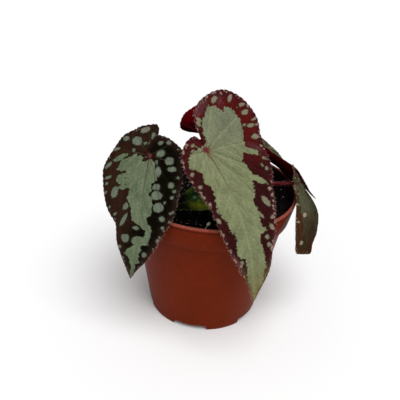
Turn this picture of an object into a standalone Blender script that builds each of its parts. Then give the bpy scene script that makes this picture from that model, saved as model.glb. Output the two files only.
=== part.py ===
"""A young painted-leaf begonia in a small round nursery pot.

The frame's origin is the centre of the pot's underside, +Z is up and -Y is the
front. Lengths are written in millimetres and multiplied by MM where they are used.
"""

import math

import bmesh
import bpy
import numpy as np

MM = 0.001
GAP = 0.3  # between pieces that touch on the real plant

# Pot: a moulded plastic cone with a stepped-out collar and a foot ring in segments
POT_HEIGHT = 69.0
RIM_RADIUS = 42.5
COLLAR_HEIGHT = 12.6
COLLAR_FOOT_RADIUS = 40.0
BODY_TOP_RADIUS = 37.9
BASE_RADIUS = 27.9
WALL = 1.7
FLOOR_UNDERSIDE = 3.0
FLOOR_TOP = 4.8
FOOT_WIDTH = 1.9
CENTRE_PAD_RADIUS = 8.5
NOTCH_COUNT = 5
NOTCH_HEIGHT = 2.7
NOTCH_ANGLE = 34.0
NOTCH_DEPTH = 9.0  # of the cut, across the foot ring
FIRST_NOTCH = -101.0  # degrees, the middle of the notch at the front
DRAIN_RADIUS = 3.4
DRAIN_CIRCLE = 19.5
DRAIN_SIDES = 16
POT_STEPS = 60

# Soil: fills the pot to 8 mm below the rim
SOIL_LEVEL = 60.6
SOIL_BUMP = 3.2
SOIL_BUMP_WIDTH = 9.0
SOIL_RINGS = (6.0, 12.0, 18.0, 24.0, 30.0, 35.0)
SOIL_STEPS = 44

# Rootstock: a short upright stem that every stalk grows from
CROWN_X = 1.5
CROWN_Y = 6.0
CROWN_RADIUS = 3.2
CROWN_FOOT = 50.0
CROWN_TOP = 67.5
CROWN_SWELL = 0.9  # how much wider it is where the stalks leave it
CROWN_HOLE_SIDES = 16
STALK_ROOT = 63.5
STALK_OFFSET = 0.8  # from the crown's axis, each towards its own blade
STALK_POINTS = 11
STALK_TAPER = (1.15, 0.9)
STALK_BEVEL = 2

# Seedling: a tiny pale shoot near the front of the rim
SEEDLING_X = -1.5
SEEDLING_Y = -34.0
SEEDLING_RADIUS = 0.55
SEEDLING_FOOT = 55.0
SEEDLING_TOP = 68.0
SEEDLING_LEAN = (1.9, -0.6)
SEEDLING_HOLE_SIDES = 12

# Blades
BLADE_THICKNESS = 0.95
BETWEEN_VEINS = 0.78  # share of the thickness left between the veins
VEIN_FADE = 0.6  # how much of the rest a vein has lost at the margin
FOLD_ROUNDING = 2.5
SAG_REACH = 6.0  # how far to each side of the midrib a sag reaches
RING_STEPS = (0.0, 0.22, 0.45, 0.67, 0.86, 1.0)
COLUMNS_PER_SECTOR = 6
PUFF = 0.55  # how far the blade swells between two veins
MARGIN_WAVE = 0.7
WAVES = 9.0

# Each leaf: where its stalk meets the blade, where a straight midrib would end,
# the way its upper side faces, the midrib's arch and sideways bow, the angles in
# degrees that its halves are raised by at the stalk and further out, where its end
# curls under with the curl's radius and how much later it starts to the right, the
# height of its margin's waves where they are flatter than usual, its veins, and its
# outline as pairs of degrees from the midrib and reach from the stalk, on the right
# and the left of the midrib. Its stalk arrives from stalk_bend behind the blade.
LEAVES = {
    "blade_left": {
        "stalk": (-27.5, -28.5, 96.0),
        "tip": (-34.0, -39.0, 36.5),
        "face": (-0.35, -0.8, 0.3),
        "arch": 4.0,
        "bow": 1.5,
        "raise_right": (-7, -3),
        "veins_right": (24, 52, 88, 130),
        "veins_left": (22, 48, 84, 126, 164),
        "right": ((0, 60.5), (3, 54.5), (7, 49.5), (12, 43.5), (18, 37.5), (26, 32),
                  (38, 26.5), (55, 20.5), (78, 16.5), (110, 15), (140, 12), (158, 11), (166, 8)),
        "left": ((0, 60.5), (3, 55.5), (7, 50), (12, 44.5), (18, 36.5), (26, 34), (38, 30.5),
                 (55, 26.5), (78, 19.5), (110, 15), (140, 13), (165, 13), (178, 13.5), (187, 9)),
        "stalk_bend": 20.0,
        "stalk_radius": 1.15,
    },
    "blade_front": {
        "stalk": (-3.5, -30.0, 101.3),
        "tip": (23.0, -50.0, 38.0),
        "face": (0.15, -0.85, 0.4),
        "arch": 6.5,
        "bow": 5.0,
        "raise_left": (14, 3),
        "veins_right": (20, 46, 82, 118, 154),
        "veins_left": (16, 44, 84, 126),
        "right": ((0, 71.5), (3, 65.5), (7, 59.5), (12, 49.5), (18, 42.5), (26, 35.5), (38, 29),
                  (55, 25.5), (78, 23.5), (110, 26.5), (140, 27), (165, 22), (182, 15), (187, 6)),
        "left": ((0, 71.5), (3, 61.5), (6, 55), (10, 47.5), (16, 37.5), (26, 25.5), (42, 19.5),
                 (62, 15.5), (85, 12.5), (110, 10.5), (135, 9), (158, 7.5), (167, 5)),
        "stalk_bend": 20.0,
        "stalk_radius": 1.25,
    },
    "blade_back": {
        "stalk": (-1.5, 17.0, 89.5),
        "tip": (50.0, 9.5, 65.0),
        "face": (0.3, 0.0, 0.95),
        "arch": 3.1,
        "bow": 0.0,
        "behind": 2.4,
        "raise_right": (20, 5),
        "raise_left": (82, 48),
        "raise_span": (0.0, 0.45),
        "curl": (52, 30, 0.0),
        "sag": (45, 5.5, 1.8),
        "veins_right": (18, 44, 84, 128),
        "veins_left": (18, 46, 84, 124, 156),
        "right": ((0, 63), (3, 54), (7, 46), (12, 41), (20, 37.5), (31, 33.5), (50, 25.5),
                  (90, 17), (130, 14), (160, 12), (173, 6)),
        "left": ((0, 63), (2, 59), (6, 54), (11, 49.5), (16, 45), (20, 36), (25, 30),
                 (35, 24.5), (60, 22), (90, 24), (115, 24.5), (138, 22), (158, 17.5),
                 (172, 12.5), (180, 7)),
        "stalk_bend": 12.0,
        "stalk_radius": 1.1,
    },
    "blade_right": {
        "stalk": (41.5, -4.0, 75.5),
        "tip": (48.0, -13.0, 42.0),
        "face": (0.88, -0.43, 0.2),
        "arch": 4.5,
        "bow": -2.0,
        "raise_right": (-20, 0),
        "raise_left": (7, 0),
        "raise_span": (0.0, 0.6),
        "curl": (34.9, 1.4, 0.4),
        "wave": 0.25,
        "veins_right": (20, 46, 84, 128),
        "veins_left": (20, 46, 84, 128),
        "right": ((0, 36.5), (8, 38.6), (14, 40.4), (20, 38.5), (27, 33), (36, 26), (46, 20),
                  (60, 14), (78, 8.5), (100, 6), (130, 5), (160, 4.5), (172, 4)),
        "left": ((0, 36.5), (10, 35), (20, 33), (28, 32), (36, 27.5), (46, 21.2), (60, 13),
                 (78, 7.5), (105, 5.5), (140, 5.5), (165, 7), (175, 10), (180, 7)),
        "stalk_bend": 14.0,
        "stalk_radius": 1.05,
    },
    "blade_young": {
        "stalk": (5.0, -12.0, 71.3),
        "tip": (-19.0, -23.5, 66.8),
        "face": (-0.1, -0.3, 0.95),
        "arch": 1.5,
        "bow": 0.0,
        "raise_right": (8, 4),
        "raise_left": (8, 6),
        "veins_right": (26, 70, 120),
        "veins_left": (26, 70, 120),
        "right": ((0, 27), (8, 23), (20, 18.5), (38, 14.5), (65, 11.5), (100, 9), (140, 7),
                  (165, 6), (174, 3.5)),
        "left": ((0, 27), (8, 22), (20, 17), (38, 12), (65, 8.5), (100, 7.5), (140, 6.5),
                 (165, 5.5), (174, 3.5)),
        "stalk_bend": 4.5,
        "stalk_radius": 0.8,
    },
}

COLOURS = {
    "pot": ((0.165, 0.030, 0.012), 0.42),
    "soil": ((0.006, 0.004, 0.003), 0.95),
    "rootstock": ((0.110, 0.020, 0.018), 0.55),
    "seedling": ((0.200, 0.220, 0.090), 0.50),
    "blade_left": ((0.060, 0.050, 0.035), 0.45),
    "blade_front": ((0.190, 0.190, 0.120), 0.45),
    "blade_back": ((0.080, 0.060, 0.035), 0.45),
    "blade_right": ((0.060, 0.055, 0.030), 0.50),
    "blade_young": ((0.040, 0.060, 0.015), 0.45),
}


def clear_scene():
    for thing in list(bpy.data.objects):
        bpy.data.objects.remove(thing, do_unlink=True)


def make_collection(name):
    group = bpy.data.collections.new(name)
    bpy.context.scene.collection.children.link(group)
    return group


def give_material(thing, name):
    colour, roughness = COLOURS[name]
    material = bpy.data.materials.new(name)
    material.use_nodes = True
    shader = material.node_tree.nodes["Principled BSDF"]
    shader.inputs["Base Color"].default_value = (*colour, 1.0)
    shader.inputs["Roughness"].default_value = roughness
    shader.inputs["Metallic"].default_value = 0.0
    thing.data.materials.clear()
    thing.data.materials.append(material)


def add_object(name, data, group):
    thing = bpy.data.objects.new(name, data)
    group.objects.link(thing)
    return thing


def as_cutter(thing):
    thing.hide_render = True
    thing.display_type = "WIRE"


def mesh_from(name, points, faces=(), edges=()):
    mesh = bpy.data.meshes.new(name)
    mesh.from_pydata([tuple(point) for point in points], list(edges), list(faces))
    mesh.update()
    return mesh


# Turned shapes

def turn(name, profile, steps, group):
    """An outline of (radius, height) pairs, outer side downwards, turned about Z."""
    points = [(radius * MM, 0.0, height * MM) for radius, height in profile]
    edges = [(i, (i + 1) % len(points)) for i in range(len(points))]
    if profile[0][0] == 0.0:
        edges.pop()
    thing = add_object(name, mesh_from(name, points, edges=edges), group)
    screw = thing.modifiers.new("turn", "SCREW")
    screw.axis = "Z"
    screw.steps = steps
    screw.render_steps = steps
    screw.use_merge_vertices = True
    screw.merge_threshold = 0.00001
    return thing


def arc(centre, radius, start, end, count):
    """Points along a circle's arc, in the plane of a profile, angles in degrees."""
    angles = np.radians(np.linspace(start, end, count))
    return [(centre[0] + radius * math.cos(a), centre[1] + radius * math.sin(a)) for a in angles]


def inner_radius(height):
    """The pot's inner wall: parallel to the outer cone, and stepped out in the collar."""
    step = POT_HEIGHT - COLLAR_HEIGHT
    body = BASE_RADIUS + (BODY_TOP_RADIUS - BASE_RADIUS) * height / step - WALL
    collar = COLLAR_FOOT_RADIUS + (RIM_RADIUS - COLLAR_FOOT_RADIUS) * (height - step) / COLLAR_HEIGHT - WALL
    share = min(max((height - step + WALL) / (1.6 * WALL), 0.0), 1.0)
    return body + (collar - body) * share


def pot_profile():
    step = POT_HEIGHT - COLLAR_HEIGHT
    lip = WALL / 2.0
    rim_centre = (RIM_RADIUS - lip, POT_HEIGHT - lip)
    outside = arc(rim_centre, lip, 45.0, 0.0, 3)
    outside += [(COLLAR_FOOT_RADIUS, step + 0.5), (COLLAR_FOOT_RADIUS - 0.5, step)]
    outside += [(BODY_TOP_RADIUS, step), (BASE_RADIUS + 0.1, 0.6), (BASE_RADIUS - 0.4, 0.0)]
    beneath = [(BASE_RADIUS - FOOT_WIDTH, 0.0), (BASE_RADIUS - FOOT_WIDTH, FLOOR_UNDERSIDE)]
    beneath += [(CENTRE_PAD_RADIUS + 0.5, FLOOR_UNDERSIDE), (CENTRE_PAD_RADIUS, 0.0), (0.0, 0.0)]
    inside = [(0.0, FLOOR_TOP), (inner_radius(FLOOR_TOP) - 1.0, FLOOR_TOP)]
    heights = (FLOOR_TOP + 1.0, step - WALL, step + 0.6 * WALL)
    inside += [(inner_radius(height), height) for height in heights]
    inside += arc(rim_centre, lip, 180.0, 90.0, 4)
    return outside + beneath + inside


def wedge_cutter(name, middle, group):
    """A block across the foot ring, as wide as the notch's angle."""
    width = 2.0 * BASE_RADIUS * math.tan(math.radians(NOTCH_ANGLE / 2.0))
    bpy.ops.mesh.primitive_cube_add(size=1.0)
    block = bpy.context.object
    block.name = name
    for owner in list(block.users_collection):
        owner.objects.unlink(block)
    group.objects.link(block)
    block.scale = (NOTCH_DEPTH * MM, width * MM, 2.0 * NOTCH_HEIGHT * MM)
    turn_angle = math.radians(middle)
    block.location = (
        BASE_RADIUS * math.cos(turn_angle) * MM,
        BASE_RADIUS * math.sin(turn_angle) * MM,
        0.0,
    )
    block.rotation_euler = (0.0, 0.0, turn_angle)
    as_cutter(block)
    return block


def cylinder(name, centre, radius, bottom, top, sides, group):
    bpy.ops.mesh.primitive_cylinder_add(vertices=sides, radius=radius * MM, depth=(top - bottom) * MM)
    rod = bpy.context.object
    rod.name = name
    for owner in list(rod.users_collection):
        owner.objects.unlink(rod)
    group.objects.link(rod)
    rod.location = (centre[0] * MM, centre[1] * MM, (top + bottom) / 2.0 * MM)
    as_cutter(rod)
    return rod


def cut(thing, cutter):
    boolean = thing.modifiers.new("cut " + cutter.name, "BOOLEAN")
    boolean.operation = "DIFFERENCE"
    boolean.solver = "EXACT"
    boolean.object = cutter


def make_pot(parts, cutters):
    pot = turn("pot", pot_profile(), POT_STEPS, parts)
    for number in range(NOTCH_COUNT):
        middle = FIRST_NOTCH + number * 360.0 / NOTCH_COUNT
        cut(pot, wedge_cutter(f"notch_{number}", middle, cutters))
        turn_angle = math.radians(middle)
        centre = (DRAIN_CIRCLE * math.cos(turn_angle), DRAIN_CIRCLE * math.sin(turn_angle))
        drain = cylinder(f"drain_{number}", centre, DRAIN_RADIUS, 1.0, FLOOR_TOP + 2.0,
                         DRAIN_SIDES, cutters)
        cut(pot, drain)
    give_material(pot, "pot")


# Soil

def make_soil(parts, cutters):
    """A plug of potting soil whose top is gently uneven, with a plain hole for each stem."""
    step = POT_HEIGHT - COLLAR_HEIGHT
    wall = [(inner_radius(h) - GAP, h) for h in (SOIL_LEVEL, step + 0.6 * WALL, step - WALL)]
    foot = FLOOR_TOP + GAP
    wall += [(inner_radius(foot + 1.2) - GAP, foot + 1.2), (inner_radius(foot) - 1.5, foot), (0.0, foot)]
    rings = [(radius, SOIL_LEVEL) for radius in (0.0,) + SOIL_RINGS]
    soil = turn("soil", wall + rings, SOIL_STEPS, parts)
    top = soil.vertex_groups.new(name="top")
    top.add(range(len(wall), len(wall) + len(rings)), 1.0, "REPLACE")
    texture = bpy.data.textures.new("crumbs", "CLOUDS")
    texture.noise_scale = SOIL_BUMP_WIDTH * MM
    texture.noise_depth = 1
    bumps = soil.modifiers.new("bumps", "DISPLACE")
    bumps.texture = texture
    bumps.texture_coords = "LOCAL"
    bumps.direction = "Z"
    bumps.vertex_group = "top"
    bumps.strength = SOIL_BUMP * MM
    above = SOIL_LEVEL + 9.0
    cut(soil, cylinder("crown_hole", (CROWN_X, CROWN_Y), CROWN_RADIUS + GAP,
                       CROWN_FOOT - GAP, above, CROWN_HOLE_SIDES, cutters))
    cut(soil, cylinder("seedling_hole", (SEEDLING_X, SEEDLING_Y), SEEDLING_RADIUS + GAP,
                       SEEDLING_FOOT - GAP, above, SEEDLING_HOLE_SIDES, cutters))
    give_material(soil, "soil")


# Blades

def unit(vector):
    vector = np.asarray(vector, float)
    return vector / np.linalg.norm(vector)


def leaf_axes(leaf):
    """The stalk point, the way to the tip, the way to the right, the upper side's way, and the length."""
    stalk = np.array(leaf["stalk"])
    along = np.array(leaf["tip"]) - stalk
    length = float(np.linalg.norm(along))
    along = along / length
    face = np.array(leaf["face"])
    face = unit(face - (face @ along) * along)
    return stalk, along, np.cross(face, along), face, length


def smooth_step(value, start, end):
    share = np.clip((value - start) / (end - start), 0.0, 1.0)
    return share * share * (3.0 - 2.0 * share)


def outline_reach(pairs, angles):
    """The outline between its points: a cubic in each step, whose slopes never overshoot."""
    knots = np.array([pair[0] for pair in pairs], float)
    reach = np.array([pair[1] for pair in pairs], float)
    rise = np.diff(reach) / np.diff(knots)
    slope = np.concatenate([rise[:1], np.zeros(len(knots) - 2), rise[-1:]])
    same = rise[:-1] * rise[1:] > 0.0
    total = np.where(same, rise[:-1] + rise[1:], 1.0)
    slope[1:-1] = np.where(same, 2.0 * rise[:-1] * rise[1:] / total, 0.0)
    place = np.clip(np.searchsorted(knots, angles) - 1, 0, len(knots) - 2)
    step = knots[place + 1] - knots[place]
    t = (angles - knots[place]) / step
    start = reach[place] * (1.0 + 2.0 * t) * (1.0 - t) ** 2 + step * slope[place] * t * (1.0 - t) ** 2
    end = reach[place + 1] * t * t * (3.0 - 2.0 * t) + step * slope[place + 1] * t * t * (t - 1.0)
    return start + end


def place_on_leaf(leaf, x, y, extra):
    """The flat leaf's points, x along the midrib and y to its right, bent into place.

    The midrib arches and bows, each half is raised about it by an angle that changes
    along the leaf, the end curls under on a circle, and the midrib may sag for a stretch.
    """
    stalk, along, across, face, length = leaf_axes(leaf)
    share = x / length
    ahead = np.clip(share, 0.0, 1.0)
    behind = np.minimum(share, 0.0)
    lift = leaf["arch"] * 4.0 * (ahead * (1.0 - ahead) + leaf.get("behind", 0.3) * behind)
    curl_start, curl_radius, skew = leaf.get("curl", (1000.0, 10.0, 0.0))
    start = curl_start + skew * y
    turned = np.clip((x - start) / curl_radius, 0.0, 2.6)
    forward = np.minimum(x, start) + curl_radius * np.sin(turned)
    lift = lift - curl_radius * (1.0 - np.cos(turned))
    sag_middle, sag_width, sag_depth = leaf.get("sag", (0.0, 1.0, 0.0))
    lift = lift - sag_depth * np.exp(-(((x - sag_middle) / sag_width) ** 2) - (y / SAG_REACH) ** 2)
    change = smooth_step(share, *leaf.get("raise_span", (0.0, 0.5)))
    right_start, right_end = leaf.get("raise_right", (0, 0))
    left_start, left_end = leaf.get("raise_left", (0, 0))
    right = right_start + (right_end - right_start) * change
    left = left_start + (left_end - left_start) * change
    raised = np.radians(np.where(y > 0.0, right, left))
    sideways = y * np.cos(raised) + leaf["bow"] * 4.0 * ahead * (1.0 - ahead)
    lift = lift + np.sin(raised) * (np.sqrt(y * y + FOLD_ROUNDING**2) - FOLD_ROUNDING) + extra
    return (
        stalk
        + forward[..., None] * along
        + sideways[..., None] * across
        + lift[..., None] * face
    )


def sector_angles(leaf):
    """Signed angles of the columns from the left lobe's end to the right lobe's, and each one's place
    between the two veins beside it, 0 or 1 on a vein."""
    left_end = leaf["left"][-1][0]
    right_end = leaf["right"][-1][0]
    veins = [-left_end] + [-angle for angle in reversed(leaf["veins_left"])] + [0]
    veins += list(leaf["veins_right"]) + [right_end]
    share = np.arange(COLUMNS_PER_SECTOR) / COLUMNS_PER_SECTOR
    angles = [start + (end - start) * share for start, end in zip(veins[:-1], veins[1:])]
    shares = [share for _ in veins[:-1]]
    return np.append(np.concatenate(angles), right_end), np.append(np.concatenate(shares), 1.0)


def make_blade(name, leaf, parts):
    """An open sheet of triangles round the stalk point, given its thickness on the underside."""
    angles, between = sector_angles(leaf)
    right = outline_reach(leaf["right"], np.maximum(angles, 0.0))
    left = outline_reach(leaf["left"], np.maximum(-angles, 0.0))
    reach = np.where(angles >= 0.0, right, left)
    ring = np.array(RING_STEPS)[1:, None]
    turn_angle = np.radians(angles)[None, :]
    x = ring * reach * np.cos(turn_angle)
    y = ring * reach * np.sin(turn_angle)
    swell = PUFF * 4.0 * between * (1.0 - between) * 4.0 * ring * (1.0 - ring)
    size = reach / leaf["right"][0][1]
    height = leaf.get("wave", MARGIN_WAVE)
    wave = height * ring**3 * np.minimum(4.0 * size, 1.0) * np.sin(WAVES * turn_angle)
    points = place_on_leaf(leaf, x, y, swell + wave * (1.0 - np.abs(np.cos(turn_angle)) ** 8))
    centre = place_on_leaf(leaf, np.zeros(1), np.zeros(1), np.zeros(1))
    rings, columns = x.shape
    points = np.concatenate([centre, points.reshape(-1, 3)]) * MM
    number = 1 + np.arange(rings * columns).reshape(rings, columns)
    inner, outer = number[:-1], number[1:]
    a, b, c, d = inner[:, :-1], inner[:, 1:], outer[:, 1:], outer[:, :-1]
    fan = np.stack([np.zeros(columns - 1, int), number[0, :-1], number[0, 1:]], -1)
    first = np.stack([a, d, c], -1).reshape(-1, 3)
    second = np.stack([a, c, b], -1).reshape(-1, 3)
    faces = np.concatenate([fan, first, second]).tolist()
    blade = add_object(name, mesh_from(name, points, faces), parts)
    veins = blade.vertex_groups.new(name="veins")
    on_vein = (between == 0.0) | (between == 1.0)
    thick = np.where(on_vein, 1.0 - VEIN_FADE * ring * (1.0 - BETWEEN_VEINS), BETWEEN_VEINS)
    weights = np.concatenate([[1.0], np.broadcast_to(thick, x.shape).reshape(-1)])
    for index, weight in enumerate(weights.tolist()):
        veins.add([index], weight, "REPLACE")
    wall = blade.modifiers.new("thickness", "SOLIDIFY")
    wall.thickness = BLADE_THICKNESS * MM
    wall.offset = -1.0
    wall.vertex_group = "veins"
    give_material(blade, name)


# Stems

def stem_points(start, bend, end, count):
    """Points along a curve that leaves start towards bend and arrives at end from it."""
    t = np.linspace(0.0, 1.0, count)[:, None]
    start, bend, end = (np.array(point) for point in (start, bend, end))
    return (1.0 - t) ** 2 * start + 2.0 * t * (1.0 - t) * bend + t * t * end


def tube(name, points, radii, group):
    """A closed tube along the points, made a mesh with its caps welded."""
    curve = bpy.data.curves.new(name, "CURVE")
    curve.dimensions = "3D"
    curve.bevel_depth = MM
    curve.bevel_resolution = STALK_BEVEL
    curve.use_fill_caps = True
    spline = curve.splines.new("POLY")
    spline.points.add(len(points) - 1)
    for spot, point, radius in zip(spline.points, points, radii):
        spot.co = (*(float(value) * MM for value in point), 1.0)
        spot.radius = float(radius)
    guide = add_object(name + "_line", curve, group)
    graph = bpy.context.evaluated_depsgraph_get()
    mesh = bpy.data.meshes.new_from_object(guide.evaluated_get(graph))
    shell = bmesh.new()
    shell.from_mesh(mesh)
    bmesh.ops.remove_doubles(shell, verts=shell.verts, dist=0.00001)
    bmesh.ops.recalc_face_normals(shell, faces=shell.faces)
    shell.to_mesh(mesh)
    shell.free()
    piece = add_object(name, mesh, group)
    piece.matrix_world = guide.matrix_world.copy()
    bpy.data.objects.remove(guide, do_unlink=True)
    return piece


def join_all(name, first, others, parts):
    """One closed mesh from pieces that overlap, in an object of its own."""
    joining = first.modifiers.new("join", "BOOLEAN")
    joining.operation = "UNION"
    joining.solver = "EXACT"
    joining.operand_type = "COLLECTION"
    joining.collection = others
    graph = bpy.context.evaluated_depsgraph_get()
    mesh = bpy.data.meshes.new_from_object(first.evaluated_get(graph))
    mesh.name = name
    whole = add_object(name, mesh, parts)
    for helper in [first] + list(others.objects):
        bpy.data.objects.remove(helper, do_unlink=True)
    bpy.data.collections.remove(others)
    return whole


def make_rootstock(parts):
    """The upright rootstock, with a stalk to the underside of each blade."""
    swell = CROWN_RADIUS + CROWN_SWELL
    heights = (CROWN_FOOT, CROWN_FOOT + 2.0, SOIL_LEVEL + 2.6, SOIL_LEVEL + 4.4, CROWN_TOP - 0.8, CROWN_TOP)
    radii = (CROWN_RADIUS - 1.2, CROWN_RADIUS, CROWN_RADIUS, swell, swell - 0.6, swell - 2.4)
    crown = tube("crown", [(CROWN_X, CROWN_Y, height) for height in heights], radii, parts)
    stalks = make_collection("stalks")
    for name, leaf in LEAVES.items():
        stalk, _, _, face, _ = leaf_axes(leaf)
        end = stalk - face * (BLADE_THICKNESS + GAP)
        bend = stalk - face * leaf["stalk_bend"]
        start = np.array((CROWN_X, CROWN_Y, STALK_ROOT))
        outwards = unit((bend - start) * (1.0, 1.0, 0.0)) * STALK_OFFSET
        radii = leaf["stalk_radius"] * np.linspace(*STALK_TAPER, STALK_POINTS)
        points = stem_points(start + outwards, bend, end, STALK_POINTS)
        tube("stalk_" + name, points, radii, stalks)
    whole = join_all("rootstock", crown, stalks, parts)
    give_material(whole, "rootstock")


def make_seedling(parts):
    """A pale shoot that leans over at its top and ends in a small blunt head."""
    foot = (SEEDLING_X, SEEDLING_Y, SEEDLING_FOOT)
    straight = (SEEDLING_X, SEEDLING_Y, SOIL_LEVEL + 1.5)
    top = (SEEDLING_X + SEEDLING_LEAN[0], SEEDLING_Y + SEEDLING_LEAN[1], SEEDLING_TOP)
    bend = (SEEDLING_X, SEEDLING_Y, SOIL_LEVEL + 3.4)
    points = [foot] + [tuple(point) for point in stem_points(straight, bend, top, 7)]
    radii = [SEEDLING_RADIUS] * 5 + [SEEDLING_RADIUS * 1.3, SEEDLING_RADIUS * 1.6, SEEDLING_RADIUS * 0.8]
    shoot = tube("seedling", points, radii, parts)
    give_material(shoot, "seedling")


def smooth_round_parts(parts):
    for thing in parts.objects:
        thing.data.shade_smooth()
        thing.data.set_sharp_from_angle(angle=math.radians(35.0))


def main():
    clear_scene()
    parts = make_collection("potted_begonia")
    cutters = make_collection("cutters")
    make_pot(parts, cutters)
    make_soil(parts, cutters)
    make_rootstock(parts)
    make_seedling(parts)
    for name, leaf in LEAVES.items():
        make_blade(name, leaf, parts)
    smooth_round_parts(parts)


main()
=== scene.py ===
import math

import bpy
import numpy as np
from mathutils import Matrix, Vector


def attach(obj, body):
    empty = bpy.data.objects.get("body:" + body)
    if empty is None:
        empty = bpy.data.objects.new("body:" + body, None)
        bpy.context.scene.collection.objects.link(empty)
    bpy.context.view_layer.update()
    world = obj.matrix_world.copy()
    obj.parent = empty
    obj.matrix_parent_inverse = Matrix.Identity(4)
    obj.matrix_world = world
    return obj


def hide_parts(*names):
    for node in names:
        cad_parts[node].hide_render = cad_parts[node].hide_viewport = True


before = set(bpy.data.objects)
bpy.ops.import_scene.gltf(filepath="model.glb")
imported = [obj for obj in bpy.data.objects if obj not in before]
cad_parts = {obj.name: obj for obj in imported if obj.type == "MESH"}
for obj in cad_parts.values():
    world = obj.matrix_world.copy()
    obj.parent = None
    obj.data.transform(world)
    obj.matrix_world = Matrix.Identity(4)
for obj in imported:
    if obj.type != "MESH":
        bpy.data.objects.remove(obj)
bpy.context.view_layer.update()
mm = 0.001  # lengths below are in millimetres
print("frame loaded:", ", ".join(sorted(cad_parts)))


# Colours and shader nodes

def tone(colour):
    # a colour as it looks on a screen, 0 to 255, turned into light: the standard screen curve undone
    seen = np.array(colour) / 255.0
    light = np.where(seen <= 0.04045, seen / 12.92, ((seen + 0.055) / 1.055) ** 2.4)
    return (*(float(part) for part in light), 1.0)


class Signal:
    # a node's output; sums, differences, products and quotients of signals are Math nodes
    def __init__(self, socket):
        self.socket = socket

    def __add__(self, other):
        return maths("ADD", self, other)

    def __sub__(self, other):
        return maths("SUBTRACT", self, other)

    def __rsub__(self, other):
        return maths("SUBTRACT", other, self)

    def __mul__(self, other):
        return maths("MULTIPLY", self, other)

    def __truediv__(self, other):
        return maths("DIVIDE", self, other)

    def __rtruediv__(self, other):
        return maths("DIVIDE", other, self)

    def __abs__(self):
        return maths("ABSOLUTE", self)

    def also(self, output):
        # another output of the same node
        return Signal(self.socket.node.outputs[output])


def wire(source, socket):
    # a socket takes a signal or a fixed value; a fixed colour is given as it looks on a screen
    if isinstance(source, Signal):
        socket.id_data.links.new(source.socket, socket)
    else:
        socket.default_value = tone(source) if socket.type == "RGBA" else source


def newNode(kind, sources, output=0, tree=None, **settings):
    # a node with its settings, whose sources are wired to the sockets of those names or numbers
    if tree is None:
        tree = next(source.socket.id_data for source in sources.values() if isinstance(source, Signal))
    node = tree.nodes.new("ShaderNode" + kind)
    for name, value in settings.items():
        setattr(node, name, value)
    for socket, source in sources.items():
        wire(source, node.inputs[socket])
    return Signal(node.outputs[output])


def maths(operation, first, second=0.0):
    return newNode("Math", {0: first, 1: second}, operation=operation)


def mixed(share, first, second):
    return newNode("Mix", {0: share, 6: first, 7: second}, 2, data_type="RGBA")


def ramped(value, low, high, start=0.0, end=1.0):
    # a smooth step of the value from low to high, which goes from start to end
    ends = {"Value": value, "From Min": low, "From Max": high, "To Min": start, "To Max": end}
    return newNode("MapRange", ends, interpolation_type="SMOOTHSTEP")


def brightened(colour, value):
    colour = colour if isinstance(colour, Signal) else tone(colour)[:3]
    return newNode("VectorMath", {0: colour, "Scale": value}, operation="SCALE")


def cloud(place, scale, detail=2.0, roughness=0.5, stretch=None):
    # noise about one half; stretch scales the place along its three ways first
    if stretch is not None:
        place = newNode("Mapping", {"Vector": place, "Scale": stretch})
    return newNode("TexNoise", {"Vector": place, "Scale": scale, "Detail": detail, "Roughness": roughness})


def cells(place, scale, feature="DISTANCE_TO_EDGE", dimensions="3D"):
    return newNode("TexVoronoi", {"Vector": place, "Scale": scale}, "Distance",
                   feature=feature, voronoi_dimensions=dimensions)


def bumped(height, distance, under=None):
    # a bump of that height in millimetres, on top of another one if there is one under it
    sources = {"Distance": distance * mm, "Height": height}
    return newNode("Bump", sources if under is None else {**sources, "Normal": under})


def attribute(tree, name, output="Fac"):
    return newNode("Attribute", {}, output, tree, attribute_name=name)


def objectPlace(tree):
    # Object coordinates in millimetres
    return brightened(newNode("TexCoord", {}, "Object", tree), 1.0 / mm)


def useGroup(group, output, **sources):
    return newNode("Group", sources, output, node_tree=group)


def newMaterial(name, roughness=0.5, specular=0.5):
    material = bpy.data.materials.new(name)
    material.use_nodes = True
    shader = material.node_tree.nodes["Principled BSDF"].inputs
    shader["Roughness"].default_value = roughness
    shader["Specular IOR Level"].default_value = specular
    return material, material.node_tree, shader


def newGroup(name, inputs, outputs):
    # an empty node group (its inputs are numbers, but for Place), its inputs' signals and its ends
    tree = bpy.data.node_groups.new(name, "ShaderNodeTree")
    for way, titles in (("INPUT", inputs), ("OUTPUT", outputs)):
        for title in titles:
            kind = "NodeSocketVector" if title == "Place" else "NodeSocketFloat"
            tree.interface.new_socket(name=title, in_out=way, socket_type=kind)
    starts = tree.nodes.new("NodeGroupInput").outputs
    return tree, [Signal(starts[title]) for title in inputs], tree.nodes.new("NodeGroupOutput").inputs


def raggedMaskGroup():
    # Field is a distance in millimetres, with rounded lobes and a finer noise of that size and depth
    # added: Mask is 1 where the sum is above zero, and Band rises to 1 just outside that
    tree, (field, place, size, depth), ends = newGroup(
        "raggedMask", ("Field", "Place", "Size", "Depth"), ("Mask", "Band"))
    scale = 1.0 / size
    lobes = 0.45 - cells(place, scale, "F1", "2D")
    fine = cloud(place, scale * 2.7, 3.0) - 0.5
    shifted = field + (lobes + fine) * (depth * 2.0)
    wire(ramped(shifted, -0.13, 0.13), ends["Mask"])
    wire(ramped(shifted, -0.8, 0.0), ends["Band"])
    return tree


def nettingGroup():
    # a leaf's net of small veins: narrow lines along the edges of cells of two sizes,
    # and a height that swells inside each cell
    tree, (place, size), ends = newGroup("netting", ("Place", "Size"), ("Lines", "Height"))
    scale = 1.0 / size
    large = cells(place, scale, dimensions="2D")
    small = cells(place, scale * 3.3, dimensions="2D")
    wire(ramped(large, 0.0, 0.07, 1.0, 0.0), ends["Lines"])
    wire(ramped(large, 0.0, 0.32) * 0.7 + ramped(small, 0.0, 0.3) * 0.3, ends["Height"])
    return tree


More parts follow.
